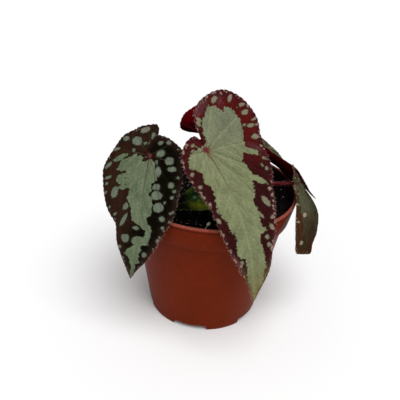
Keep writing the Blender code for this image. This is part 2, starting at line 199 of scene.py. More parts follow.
def mottleGroup():
    # a brightness about 1 that wanders by Depth, half of it in broad clouds and half in fine ones
    tree, (place, size, depth), ends = newGroup("mottle", ("Place", "Size", "Depth"), ("Shade",))
    scale = 1.0 / size
    both = cloud(place, scale, 3.0) + cloud(place, scale * 7.0) - 1.0
    wire(both * (depth * 2.0) + 1.0, ends["Shade"])
    return tree


raggedMask = raggedMaskGroup()
netting = nettingGroup()
mottle = mottleGroup()


def mottled(colour, place, size, depth):
    return brightened(colour, useGroup(mottle, "Shade", Place=place, Size=size, Depth=depth))


def split(place):
    # the three parts of a place
    x = newNode("SeparateXYZ", {0: place}, "X")
    return x, x.also("Y"), x.also("Z")


# Meshes from arrays

def unit(vectors):
    return vectors / np.maximum(np.linalg.norm(vectors, axis=-1, keepdims=True), 1e-12)


def smoothStep(value, start, end):
    share = np.clip((value - start) / (end - start), 0.0, 1.0)
    return share * share * (3.0 - 2.0 * share)


def curveThrough(pairs, at):
    # the value between (place, value) pairs: a cubic in each step, whose slopes never overshoot
    knots, value = np.array(pairs, float).T
    rise = np.diff(value) / np.diff(knots)
    slope = np.concatenate([rise[:1], np.zeros(len(knots) - 2), rise[-1:]])
    same = rise[:-1] * rise[1:] > 0.0
    total = np.where(same, rise[:-1] + rise[1:], 1.0)
    slope[1:-1] = np.where(same, 2.0 * rise[:-1] * rise[1:] / total, 0.0)
    at = np.clip(at, knots[0], knots[-1])
    place = np.clip(np.searchsorted(knots, at) - 1, 0, len(knots) - 2)
    step = knots[place + 1] - knots[place]
    t = (at - knots[place]) / step
    start = value[place] * (1.0 + 2.0 * t) * (1.0 - t) ** 2 + step * slope[place] * t * (1.0 - t) ** 2
    end = value[place + 1] * t * t * (3.0 - 2.0 * t) + step * slope[place + 1] * t * t * (t - 1.0)
    return start + end


def softNoise(x, y, size, seed):
    # noise from -1 to 1: random values on a square grid of that size, eased between its corners
    grid = np.random.default_rng(seed).uniform(-1.0, 1.0, (64, 64))
    u, v = np.asarray(x, float) / size, np.asarray(y, float) / size
    column, row = np.floor(u).astype(int), np.floor(v).astype(int)
    a, b = u - column, v - row
    a, b = a * a * (3.0 - 2.0 * a), b * b * (3.0 - 2.0 * b)
    low = grid[row % 64, column % 64] * (1.0 - a) + grid[row % 64, (column + 1) % 64] * a
    high = grid[(row + 1) % 64, column % 64] * (1.0 - a) + grid[(row + 1) % 64, (column + 1) % 64] * a
    return low * (1.0 - b) + high * b


def makePiece(name, points, faces, materials, faceMaterial=None, values=None, sharp=None):
    # points in millimetres and faces as lists of corner numbers; values are attributes by name
    mesh = bpy.data.meshes.new(name)
    mesh.from_pydata((points * mm).tolist(), [], faces)
    for material in materials:
        mesh.materials.append(material)
    if faceMaterial is not None:
        mesh.polygons.foreach_set("material_index", np.asarray(faceMaterial, np.int32))
    for title, array in (values or {}).items():
        if array.ndim == 2:
            layer = mesh.attributes.new(title, "FLOAT_VECTOR", "POINT")
            layer.data.foreach_set("vector", array.astype(np.float32).ravel())
        else:
            layer = mesh.attributes.new(title, "FLOAT", "POINT")
            layer.data.foreach_set("value", array.astype(np.float32).ravel())
    mesh.shade_smooth()
    if sharp is not None:
        mesh.set_sharp_from_angle(angle=math.radians(sharp))
    mesh.update()
    piece = bpy.data.objects.new(name, mesh)
    bpy.context.scene.collection.objects.link(piece)
    return piece


def settle(piece, slot, *nodes):
    # the piece rides on the part's one body, and stands for these nodes
    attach(piece, "root")
    if nodes:
        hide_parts(*nodes)
    return piece


def gridFaces(rows, columns, wrap=False, first=0):
    # the squares of a grid of points, numbered row by row; wrap joins the last column to the first
    number = first + np.arange(rows * columns).reshape(rows, columns)
    if wrap:
        number = np.concatenate([number, number[:, :1]], axis=1)
    a, b, c, d = number[:-1, :-1], number[:-1, 1:], number[1:, 1:], number[1:, :-1]
    return np.stack([a, b, c, d], -1).reshape(-1, 4)


def closedRings(grid, start, end):
    # rings of points (ring by step), each joined to the next, and closed by a point at each end
    rings, steps = grid.shape[:2]
    turn = np.arange(steps)
    after, last, count = (turn + 1) % steps, (rings - 1) * steps, rings * steps
    faces = gridFaces(rings, steps, wrap=True).tolist()
    faces += np.stack([np.full(steps, count), after, turn], -1).tolist()
    faces += np.stack([np.full(steps, count + 1), last + turn, last + after], -1).tolist()
    return np.concatenate([grid.reshape(-1, 3), [start, end]]), faces


def around(count):
    # the cosines and sines of equal steps round a circle
    angle = np.arange(count) * 2.0 * np.pi / count
    return np.cos(angle), np.sin(angle)


def turnedRings(profile, steps):
    # each (radius, height) pair carried once round the upright axis
    radius, height = np.array(profile, float).T[..., None]
    c, s = around(steps)
    return np.stack([radius * c, radius * s, height + 0.0 * c], -1)


def ringsAcross(side, over, count):
    # at each place a circle of radius one on its two ways across
    c, s = around(count)
    return side[:, None] * c[None, :, None] + over[:, None] * s[None, :, None]


def alongPath(points):
    # at each point of a path: the way along it, and two ways across it that turn as little as they can
    along = unit(np.gradient(points, axis=0))
    side = np.empty_like(along)
    guess = np.cross(along[0], (0.0, 0.0, 1.0))
    if np.linalg.norm(guess) < 0.05:
        guess = np.array((1.0, 0.0, 0.0))
    for step, way in enumerate(along):
        guess = guess - (guess @ way) * way
        guess = guess / np.linalg.norm(guess)
        side[step] = guess
    return along, side, np.cross(along, side)


def tubeGrid(points, radius, sides):
    # a tube: at each path point a ring of that radius (path by sides), closed by a point at each end
    _, side, over = alongPath(points)
    wide = np.broadcast_to(radius, (len(points), sides))[..., None]
    return closedRings(points[:, None] + ringsAcross(side, over, sides) * wide, points[0], points[-1])


def hairMesh(roots, ways, lengths, thickness, droop):
    # tapered hairs, all at once: a three-sided foot, a narrower ring half way and a tip that droops
    ways = unit(ways)
    side, droop = unit(np.cross(ways, (0.31, 0.52, 0.79))), np.array(droop)
    ring = ringsAcross(side, np.cross(ways, side), 3) * thickness
    lengths = lengths[:, None]
    middle = roots + ways * lengths * 0.5 + droop * 0.3
    tip = roots + ways * lengths + droop
    foot = (roots - ways * 0.12)[:, None] + ring
    points = np.concatenate([foot, middle[:, None] + ring * 0.6, tip[:, None]], axis=1).reshape(-1, 3)
    first = np.arange(len(roots))[:, None, None] * 7
    quads = np.array([(0, 1, 4, 3), (1, 2, 5, 4), (2, 0, 3, 5)])
    ends = np.array([(3, 4, 6), (4, 5, 6), (5, 3, 6), (0, 2, 1)])
    return points, (first + quads).reshape(-1, 4).tolist() + (first + ends).reshape(-1, 3).tolist()


# Pot: moulded terracotta-coloured plastic, turned, with a notched foot ring and drain holes

pot = {
    "height": 69.0, "rimRadius": 42.5, "wall": 1.7,
    "collarHeight": 12.6, "collarFoot": 40.0, "bodyTop": 37.9, "baseRadius": 27.9,
    "floorUnder": 3.0, "floorTop": 4.8, "footWidth": 1.9, "padRadius": 8.5,
    "notches": 5, "notchHeight": 2.7, "notchAngle": 34.0, "notchDepth": 9.0, "firstNotch": -101.0,
    "drainRadius": 3.4, "drainCircle": 19.5,
    "rounding": 0.35, "steps": 144,
    "body": (99, 30, 4), "paleWearAndHighlight": (158, 88, 76), "dust": (118, 60, 38), "pitAndShadeLine": (44, 10, 4),
    "peatAndShade": (15, 6, 6), "lipShadeLine": 67.0, "specular": 0.035,
}


def innerRadius(height):
    # the inner wall: parallel to the outer cone, and stepped out in the collar
    step = pot["height"] - pot["collarHeight"]
    body = pot["baseRadius"] + (pot["bodyTop"] - pot["baseRadius"]) * height / step - pot["wall"]
    rise = (pot["rimRadius"] - pot["collarFoot"]) * (height - step) / pot["collarHeight"]
    share = min(max((height - step + pot["wall"]) / (1.6 * pot["wall"]), 0.0), 1.0)
    return body + (pot["collarFoot"] + rise - pot["wall"] - body) * share


def cornerArc(centre, radius, start, end, count):
    angles = np.radians(np.linspace(start, end, count))
    return [(centre[0] + radius * math.cos(a), centre[1] + radius * math.sin(a)) for a in angles]


def potProfile():
    # (radius, height) from under the middle out and up the outside, over the rim and down to the floor
    step, top = pot["height"] - pot["collarHeight"], pot["floorTop"]
    lip, wall = pot["wall"] / 2.0, pot["wall"]
    soft, base = pot["rounding"], pot["baseRadius"]
    rim = (pot["rimRadius"] - lip, pot["height"] - lip)
    foot, pad, under = base - pot["footWidth"], pot["padRadius"], pot["floorUnder"]
    line = [(0.0, 0.0), (pad - 0.3, 0.0), (pad, 0.2), (pad + 0.5, under), (foot, under), (foot, 0.2)]
    line += [(foot + 0.2, 0.0)] + cornerArc((base - soft, soft), soft, -90.0, 0.0, 4) + [(base + 0.2, 1.0)]
    line += [(base + (pot["bodyTop"] - base) * share, step * share) for share in (0.06, 0.25, 0.5, 0.75)]
    line += cornerArc((pot["bodyTop"] + soft * 0.8, step - soft * 0.8), soft * 0.8, 180.0, 90.0, 4)
    line += cornerArc((pot["collarFoot"] - soft, step + soft), soft, -90.0, 0.0, 4)
    line += [(pot["collarFoot"] + 0.3, step + 1.6)] + cornerArc(rim, lip, 0.0, 80.0, 7)
    line += cornerArc(rim, lip, 100.0, 180.0, 7)
    heights = (step + 7.0, step + 0.6 * wall, step - wall, 40.0, 20.0, top + 1.0)
    line += [(innerRadius(height), height) for height in heights]
    return line + [(innerRadius(top) - 1.0, top), (0.0, top)]


def potMaterial():
    # satin plastic: cloudy colour, dark pits, pale wear along the rim and the collar's edge, with a painted
    # highlight on the lip, painted shade lines under the lip and the collar, and peat that sticks to the
    # inner wall, which also stands for painted shade there and reaches over the far lip as painted shade
    material, tree, shader = newMaterial("potPlastic", 0.42, pot["specular"])
    place = objectPlace(tree)
    x, y, high = split(place)
    step, top = pot["height"] - pot["collarHeight"], pot["height"]
    colour = mottled(pot["body"], place, 22.0, 0.16)
    streak = cloud(place, 0.55, 3.0, 0.6, (1.0, 1.0, 0.12))
    colour = mixed(ramped(streak, 0.56, 0.75, 0.0, 0.06), colour, pot["paleWearAndHighlight"])
    pits = ramped(cells(place, 0.34, "F1"), 0.05, 0.075, 1.0, 0.0)
    colour = mixed(pits * ramped(cloud(place, 0.09), 0.52, 0.6) * 0.7, colour, pot["pitAndShadeLine"])
    scuff = cloud(place, 1.6, 4.0, 0.65)
    # the pale band on the lip is partly scuffed wear and partly a painted highlight
    rim = ramped(high, top - 1.1, top - 0.5) * ramped(scuff, 0.40, 0.62, 0.5, 1.0)
    edge = ramped(abs(high - (step + 0.4)), 0.15, 0.7, 0.08, 0.0)
    foot = ramped(high, 0.3, 2.2, 0.5, 0.0)
    wearAndRimHighlight = maths("MAXIMUM", rim, maths("MAXIMUM", edge, foot) * ramped(scuff, 0.45, 0.65))
    colour = mixed(wearAndRimHighlight * 0.75, colour, pot["paleWearAndHighlight"])
    colour = mixed(ramped(cloud(place, 2.6, 5.0, 0.7), 0.62, 0.75) * 0.2, colour, pot["dust"])
    # painted shade: a dark line under the lip and another under the collar's step
    for line in (pot["lipShadeLine"], step - 0.5):
        colour = mixed(ramped(abs(high - line), 0.15, 0.8, 0.6, 0.0), colour, pot["pitAndShadeLine"])
    flare = (pot["rimRadius"] - pot["collarFoot"]) / pot["collarHeight"]
    away = maths("SQRT", x * x + y * y) - high * flare
    wall = innerRadius(top) - flare * top
    inside = ramped(away, wall + 0.1, wall + 0.4, 1.0, 0.0) * ramped(high, step + 0.5, step + 1.5)
    # peat stains on the inner wall, which also stand for painted shade there; on the far side the dark
    # reaches over the lip as painted shade
    blots = (cloud(place, 0.5, 4.0, 0.65) - 0.5) * 3.0
    peatAndShadeHeight = high + blots - ramped(y, -16.0, -8.0, 0.0, 2.2)  # it reaches higher on the far side
    peatAndShade = inside * ramped(peatAndShadeHeight, top - 1.1, top - 0.2, 0.97, 0.0)
    wire(mixed(peatAndShade, colour, pot["peatAndShade"]), shader["Base Color"])
    wire(ramped(scuff, 0.35, 0.7, 0.36, 0.52) + wearAndRimHighlight * 0.1, shader["Roughness"])
    fine = bumped(cloud(place, 1.9, 3.0) + pits * -0.6, 0.05)
    wire(bumped(cloud(place, 0.45, 2.0, 0.5, (0.06, 0.06, 3.0)), 0.10, fine), shader["Normal"])
    return material


def prism(name, outline, bottom, top):
    # an upright block on a closed outline, used as a cutter
    count = len(outline)
    flat = np.array(outline, float)
    low = np.column_stack([flat, np.full(count, bottom)])
    high = np.column_stack([flat, np.full(count, top)])
    turn = np.arange(count)
    after = (turn + 1) % count
    faces = np.stack([turn, after, after + count, turn + count], -1).tolist()
    faces += [turn[::-1].tolist(), (turn + count).tolist()]
    return makePiece(name, np.concatenate([low, high]), faces, [])


def cutAway(piece, cutters):
    # exact cuts, kept as the piece's own mesh
    for cutter in cutters:
        modifier = piece.modifiers.new(cutter.name, "BOOLEAN")
        modifier.operation = "DIFFERENCE"
        modifier.solver = "EXACT"
        modifier.object = cutter
    graph = bpy.context.evaluated_depsgraph_get()
    mesh = bpy.data.meshes.new_from_object(piece.evaluated_get(graph))
    piece.modifiers.clear()
    piece.data = mesh
    for cutter in cutters:
        bpy.data.objects.remove(cutter)


def makePot():
    profile = potProfile()
    ends = [(0.0, *profile[number]) for number in (0, -1)]
    points, faces = closedRings(turnedRings(profile[1:-1], pot["steps"]), *ends)
    piece = makePiece("pot_shell", points, faces, [potMaterial()])
    cutters = []
    half = pot["baseRadius"] * math.tan(math.radians(pot["notchAngle"] / 2.0))
    block = np.array([(-1, -1), (1, -1), (1, 1), (-1, 1)]) * (pot["notchDepth"] / 2.0, half)
    disc = np.stack(around(28), -1) * pot["drainRadius"]
    for number in range(pot["notches"]):
        middle = math.radians(pot["firstNotch"] + number * 360.0 / pot["notches"])
        way = np.array((math.cos(middle), math.sin(middle)))
        notch = block @ np.array([way, (-way[1], way[0])]) + way * pot["baseRadius"]
        cutters.append(prism(f"notch{number}", notch, -1.0, pot["notchHeight"]))
        cutters.append(prism(f"drain{number}", disc + way * pot["drainCircle"], 1.0, pot["floorTop"] + 2.0))
    cutAway(piece, cutters)
    piece.data.shade_smooth()
    piece.data.set_sharp_from_angle(angle=math.radians(32.0))
    settle(piece, "pot_plastic", "pot")


makePot()
print("pot turned")


# Soil: dark peat with crumbs, a few pale grains and bits of fibre

soil = {
    "level": 60.6, "gap": 0.3, "rings": 74, "steps": 170,
    "crumbs": {"count": 1700, "sizes": (0.35, 1.05), "lift": 0.05, "squash": 0.45, "seed": 21},
    "grains": {"count": 230, "sizes": (0.16, 0.5), "lift": 0.35, "squash": 0.3, "seed": 22},
    "fibres": 130, "fibreLength": (1.0, 3.0), "fibreThickness": 0.11,
    "peat": (12, 9, 8), "crumb": (24, 19, 15), "grain": (132, 136, 140), "fibre": (78, 58, 38),
    "specular": 0.04, "bank": 4.2, "bankWidth": 10.0, "bankWay": 20.0,
    "bumps": ((0.55, 3.1, 11), (0.38, 1.45, 12), (0.16, 0.7, 13)),  # (height, size, seed)
}


def cadSoilHeight(x, y):
    # the height of the CAD soil between its own top points, each weighted by its nearness
    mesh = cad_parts["soil"].data
    points = np.empty(len(mesh.vertices) * 3, np.float32)
    mesh.vertices.foreach_get("co", points)
    points = np.unique(np.round(points.reshape(-1, 3) / mm, 3), axis=0)
    points = points[points[:, 2] > soil["level"] - 3.0]
    gap = (np.ravel(x)[:, None] - points[:, 0]) ** 2 + (np.ravel(y)[:, None] - points[:, 1]) ** 2
    weight = 1.0 / (gap + 1.5) ** 2
    return (weight @ points[:, 2] / weight.sum(1)).reshape(np.shape(x))


def soilHeight(x, y):
    # the CAD height with crumbly noise of three sizes, banked up against the wall on one side
    rough = sum(high * softNoise(x, y, size, seed) for high, size, seed in soil["bumps"])
    outer = innerRadius(soil["level"])
    facing = np.cos(np.arctan2(y, x) - math.radians(soil["bankWay"]))
    bank = smoothStep(np.hypot(x, y), outer - soil["bankWidth"], outer) * smoothStep(facing, -0.2, 0.7)
    return cadSoilHeight(x, y) + rough + soil["bank"] * bank


def dullMaterial(name, colour, size, depth, roughness, lump):
    # a matt, cloudy finish with a lumpy surface, for soil, crumbs and grains
    material, tree, shader = newMaterial(name, roughness, soil["specular"])
    place = objectPlace(tree)
    wire(mottled(colour, place, size, depth), shader["Base Color"])
    wire(bumped(cloud(place, 2.4 / lump, 4.0, 0.7), lump * 0.5), shader["Normal"])
    return material


def makeSoil():
    # rings out under the plug, up the wall and in over the crumbly top
    outer = innerRadius(soil["level"]) - soil["gap"]
    step, foot = pot["height"] - pot["collarHeight"], pot["floorTop"] + soil["gap"]
    heights = (foot + 1.2, 30.0, step - pot["wall"], step + 0.6 * pot["wall"])
    sides = [(innerRadius(foot) - 1.5, foot)] + [(innerRadius(h) - soil["gap"], h) for h in heights]
    radii = outer * np.linspace(0.0, 1.0, soil["rings"])[:0:-1] ** 0.9
    grid = turnedRings(sides + [(radius, 0.0) for radius in radii], soil["steps"])
    top = grid[len(sides):]
    top[..., 2] = soilHeight(top[..., 0], top[..., 1])
    points, faces = closedRings(grid, (0.0, 0.0, foot), (0.0, 0.0, float(soilHeight(0.0, 0.0))))
    peat = dullMaterial("peat", soil["peat"], 3.0, 0.5, 0.95, 0.7)
    settle(makePiece("soil_plug", points, faces, [peat], sharp=60.0), "potting_soil", "soil")
    return outer


def strewn(random, count, outer):
    # places spread evenly over a disc
    reach = np.sqrt(random.uniform(0.0, 1.0, count)) * outer
    turn = random.uniform(0.0, 2.0 * np.pi, count)
    return reach * np.cos(turn), reach * np.sin(turn)


def lumps(outer, count, sizes, lift, squash, seed):
    # many rough lumps at once: an eight-faced ball split once, each turned, stretched and dented at
    # random, with its middle that share of its size above the soil
    random = np.random.default_rng(seed)
    corners = np.array([(1, 0, 0), (-1, 0, 0), (0, 1, 0), (0, -1, 0), (0, 0, 1), (0, 0, -1)], float)
    sheet = [(0, 2, 4), (2, 1, 4), (1, 3, 4), (3, 0, 4), (2, 0, 5), (1, 2, 5), (3, 1, 5), (0, 3, 5)]
    pairs = sorted({tuple(sorted((a, b))) for face in sheet for a, b in zip(face, face[1:] + face[:1])})
    number = {pair: 6 + index for index, pair in enumerate(pairs)}
    ball = unit(np.concatenate([corners, [corners[a] + corners[b] for a, b in pairs]]))
    quarters = []
    for a, b, c in sheet:
        ab, bc, ca = (number[tuple(sorted(pair))] for pair in ((a, b), (b, c), (c, a)))
        quarters += [(a, ab, ca), (b, bc, ab), (c, ca, bc), (ab, bc, ca)]
    size = random.uniform(*sizes, (count, 1, 1)) * random.uniform(0.6, 1.0, (count, 1, 1))
    shape = ball[None] * size * random.uniform(1.0 - squash, 1.0, (count, 1, 3))
    shape = shape * random.uniform(0.78, 1.12, (count, len(ball), 1))
    way = random.uniform(0.0, 2.0 * np.pi, (count, 1))
    x = shape[..., 0] * np.cos(way) - shape[..., 1] * np.sin(way)
    y = shape[..., 0] * np.sin(way) + shape[..., 1] * np.cos(way)
    atX, atY = strewn(random, count, outer - 1.2)
    height = soilHeight(atX, atY) + size[:, 0, 0] * lift
    points = np.stack([x + atX[:, None], y + atY[:, None], shape[..., 2] + height[:, None]], -1)
    faces = (np.arange(count)[:, None, None] * len(ball) + np.array(quarters)[None]).reshape(-1, 3)
    return points.reshape(-1, 3), faces.tolist()


def makeSoilBits(outer):
    crumb = dullMaterial("crumb", soil["crumb"], 2.0, 0.6, 0.9, 0.3)
    pale = dullMaterial("paleGrain", soil["grain"], 1.5, 0.2, 0.85, 0.2)
    for name, finish in (("crumbs", crumb), ("grains", pale)):
        points, faces = lumps(outer, **soil[name])
        settle(makePiece("soil_" + name, points, faces, [finish], sharp=50.0), "potting_soil")
    random = np.random.default_rng(23)
    count = soil["fibres"]
    x, y = strewn(random, count, outer - 3.0)
    way = random.uniform(0.0, 2.0 * np.pi, count)
    roots = np.stack([x, y, soilHeight(x, y) + 0.25], -1)
    ways = np.stack([np.cos(way), np.sin(way), random.uniform(-0.1, 0.35, count)], -1)
    lengths = random.uniform(*soil["fibreLength"], count)
    points, faces = hairMesh(roots, ways, lengths, soil["fibreThickness"], (0, 0, 0))
    fibre = dullMaterial("fibre", soil["fibre"], 1.0, 0.4, 0.8, 0.2)
    settle(makePiece("soil_fibres", points, faces, [fibre]), "potting_soil")


makeSoilBits(makeSoil())
print("soil filled")


# Leaves: each blade is one closed sheet round its stalk point, worked out flat and then bent

blade = {
    "spacing": 0.5, "rings": 82, "thickness": 0.42, "rimThickness": 0.24,
    "waves": 9.0, "foldRounding": 2.5, "sagReach": 6.0, "tooth": 0.38, "toothSpacing": 2.3,
    "veinSink": 0.12, "veinRidge": 0.36, "veinWidth": 0.42, "cushion": 0.34,
    "sideSpacing": 6.5, "sideLean": 1.15, "sideBend": 0.012, "lapDrop": 1.2, "droop": (0.0, 0.0, -0.08),
    "bumps": ((0.07, 1.7, 1), (0.14, 4.2, 2)),  # (height, size, added to the leaf's seed)
    "hairSpacing": 0.5, "hairLength": (0.4, 1.0), "hairThickness": 0.045, "hairSpread": 0.28,
    "hair": (196, 160, 154),
}

# Stalk and tip are points, face the way the upper side looks; arch, bow, raise, curl and sag bend
# the flat blade; veins are angles from the midrib; right and left are the outline as (angle, reach)
# pairs; lap is how far past its outline the left lobe runs behind the right one, in degrees;
# silverRight and silverLeft are the edges of the silver patch as (distance along the midrib,
# distance across) pairs; spots, fingers that join the patch, bites out of it and mauve places are
# ovals, (along, across, half length, half width, turn); ground turns to groundFar along
# groundShift, (share along, share across, start, end), and silver to silverFar between two
# distances along the midrib.

plainBlade = {
    "bow": 0.0, "behind": 0.3, "raiseSpan": (0.0, 0.5), "curl": (1000.0, 10.0, 0.0),
    "sag": (0.0, 1.0, 0.0), "puff": 0.55, "wave": 0.7, "lap": 0.0, "specular": 0.018,
    "fingers": (), "bites": (), "mauve": (), "knot": 1.3, "tipShare": 0.85,
    "ragged": (1.9, 0.55), "roughness": 0.5, "streaks": 0.2,
}

bladeLeft = plainBlade | {
    "node": "blade_left", "slot": "leaf_dark", "stalk": (-27.5, -28.5, 96.0), "tip": (-34.0, -39.0, 36.5),
    "face": (-0.35, -0.8, 0.3),
    "arch": 4.0, "bow": 1.5, "raiseRight": (-7, -3), "raiseLeft": (0, 0),
    "veinsRight": (24, 52, 88, 130), "veinsLeft": (22, 48, 84, 126, 164),
    "right": ((0, 60.5), (3, 54.5), (7, 49.5), (12, 43.5), (18, 37.5), (26, 32), (38, 26.5), (55, 20.5),
        (78, 16.5), (110, 15), (140, 12), (152, 10.8), (164, 10.1), (170, 9.3), (178, 7.8), (191, 6.1),
        (200, 4.6), (206, 3.2)),
    "left": ((0, 60.5), (3, 55.5), (7, 50), (12, 44.5), (18, 36.5), (26, 34), (38, 30.5), (55, 26.5),
        (78, 19.5), (110, 15), (140, 13), (165, 13), (178, 13.5), (186, 12.2), (190, 9)),
    "stalkBend": 20.0, "stalkRadius": 1.15,
    "silverRight": ((1.5, 0), (2, 2), (3, 3.5), (5, 4), (7, 4.5), (8.5, 5.5), (11.5, 3.5), (14, 4),
        (16, 3.5), (17, 4.5), (18, 5.5), (20.5, 5.5), (23.5, 6), (27.5, 4), (29, 5.5), (31.5, 7.5),
        (33.5, 7), (36.5, 7), (39, 6.5), (40, 4), (41, 3), (42, 3.5), (45, 3), (47.5, 3), (49.5, 3.5),
        (51.5, 2), (53, 2), (55.5, 1.5), (59.5, 0)),
    "silverLeft": ((0, -2), (0.5, -5), (2, -7.5), (3.5, -9.5), (4.5, -11.5), (7, -13.5), (10, -14),
        (11, -9.5), (15, -8), (17, -6.5), (19.5, -7), (21.5, -7), (22, -5.5), (24, -4.5), (27, -3.5),
        (30, -2.5), (31, 0.5), (32.5, 4), (34, 4.5), (35.5, 4), (36.5, 1), (38, -1.5), (40, -2),
        (41.5, -0.5), (43.5, -2), (45, -3.5), (47.5, -4.5), (48.5, -2.5), (49, -1.5), (51.5, -1.5),
        (52.5, -0.5), (55, 0), (59.5, -0.5)),
    "fingers": ((4.5, -13.5, 3.8, 1, -55), (13.5, -11, 2.9, 2.4, -75), (16.5, -10, 2.1, 1.2, -65)),
    "bites": ((2, -1.5, 2, 0.8, -60), (12.5, -9.5, 0.5, 0.5, 0), (10.5, -11.5, 2.1, 0.5, -70),
        (34, 3, 1.9, 1.8, -40)),
    "spots": ((-10, -4.5, 2.1, 1.2, -55), (-8.5, -0.5, 1.6, 0.9, -10), (-4, -12.5, 1.7, 1, -55),
        (-4.5, -7, 2.6, 1.9, -70), (-4.5, -3, 0.8, 0.6, -65), (-5, -1.5, 0.8, 0.4, -25),
        (2, -17, 2.4, 0.6, -65), (0, -8, 1.1, 0.7, -50), (9.5, -19, 2.4, 0.8, -40),
        (15, -18.5, 2.2, 0.7, -55), (18, -19, 1.1, 0.7, -50), (22, -18.5, 1.4, 0.6, -35),
        (20, -13.5, 2.8, 1.7, -15), (-2, 5, 2.2, 1.4, -55), (0, 9.5, 2.1, 1.6, -70),
        (3, 11.5, 2, 1.1, -75), (-6.5, 4, 1.2, 0.8, -55), (-7.5, 7.5, 1.1, 0.9, -70),
        (-5.5, 12, 0.5, 0.4, 0), (6, 14.5, 0.8, 0.6, -75), (9.5, 12.5, 1.4, 1.2, -70),
        (11.5, 14.5, 0.9, 0.7, -70), (14.5, 14, 0.9, 0.8, -65), (12, 6, 1.9, 1.4, -70),
        (15.5, 7, 2.6, 1.9, -70), (2, 4, 1, 0.7, 10), (5.5, 5.5, 2.1, 1.4, 10), (20.5, 8.5, 2.5, 2, -65),
        (17.5, 11, 0.7, 0.6, -65), (25, 11, 1.4, 1.3, -50), (21.5, 14.5, 0.7, 0.6, -60),
        (20.5, 15.5, 0.6, 0.5, -55), (25.5, 14.5, 0.7, 0.6, -55), (29, 12, 0.8, 0.7, -45),
        (35.5, 11, 1.1, 0.9, -35), (40, 9.5, 0.5, 0.4, -50), (44.5, 5.5, 1.5, 1.2, -45),
        (24.5, -7, 2.1, 1.3, -35), (31, -7, 3.8, 1, -20), (30, -12, 1.4, 0.6, -40),
        (27.5, -15, 0.7, 0.5, -55), (39.5, -5, 2.4, 2, -40), (45, -7.5, 1.2, 0.9, -45),
        (33, -0.5, 1.8, 0.9, -80), (50, -5, 0.8, 0.6, -40)),
    "rimDots": 14, "seed": 31, "lap": 6.0,
    "silver": (97, 110, 84), "silverFar": (101, 113, 88), "silverShift": (0, 30),
    "ground": (48, 28, 17), "groundFar": (11, 7, 2), "groundShift": (0.1, 1.0, -6, 5),
    "groundEdge": (42, 26, 20), "halo": (30, 33, 17), "tipTone": (84, 78, 60), "tipSpan": (52, 62),
    "veinNear": (92, 46, 50), "veinFar": (128, 132, 106), "stalkPoint": (112, 62, 64), "rim": (58, 48, 40),
    "bead": (118, 104, 94), "beadGap": 2.6, "beads": 0.35, "spot": (106, 114, 98), "streaks": 0.15,
}

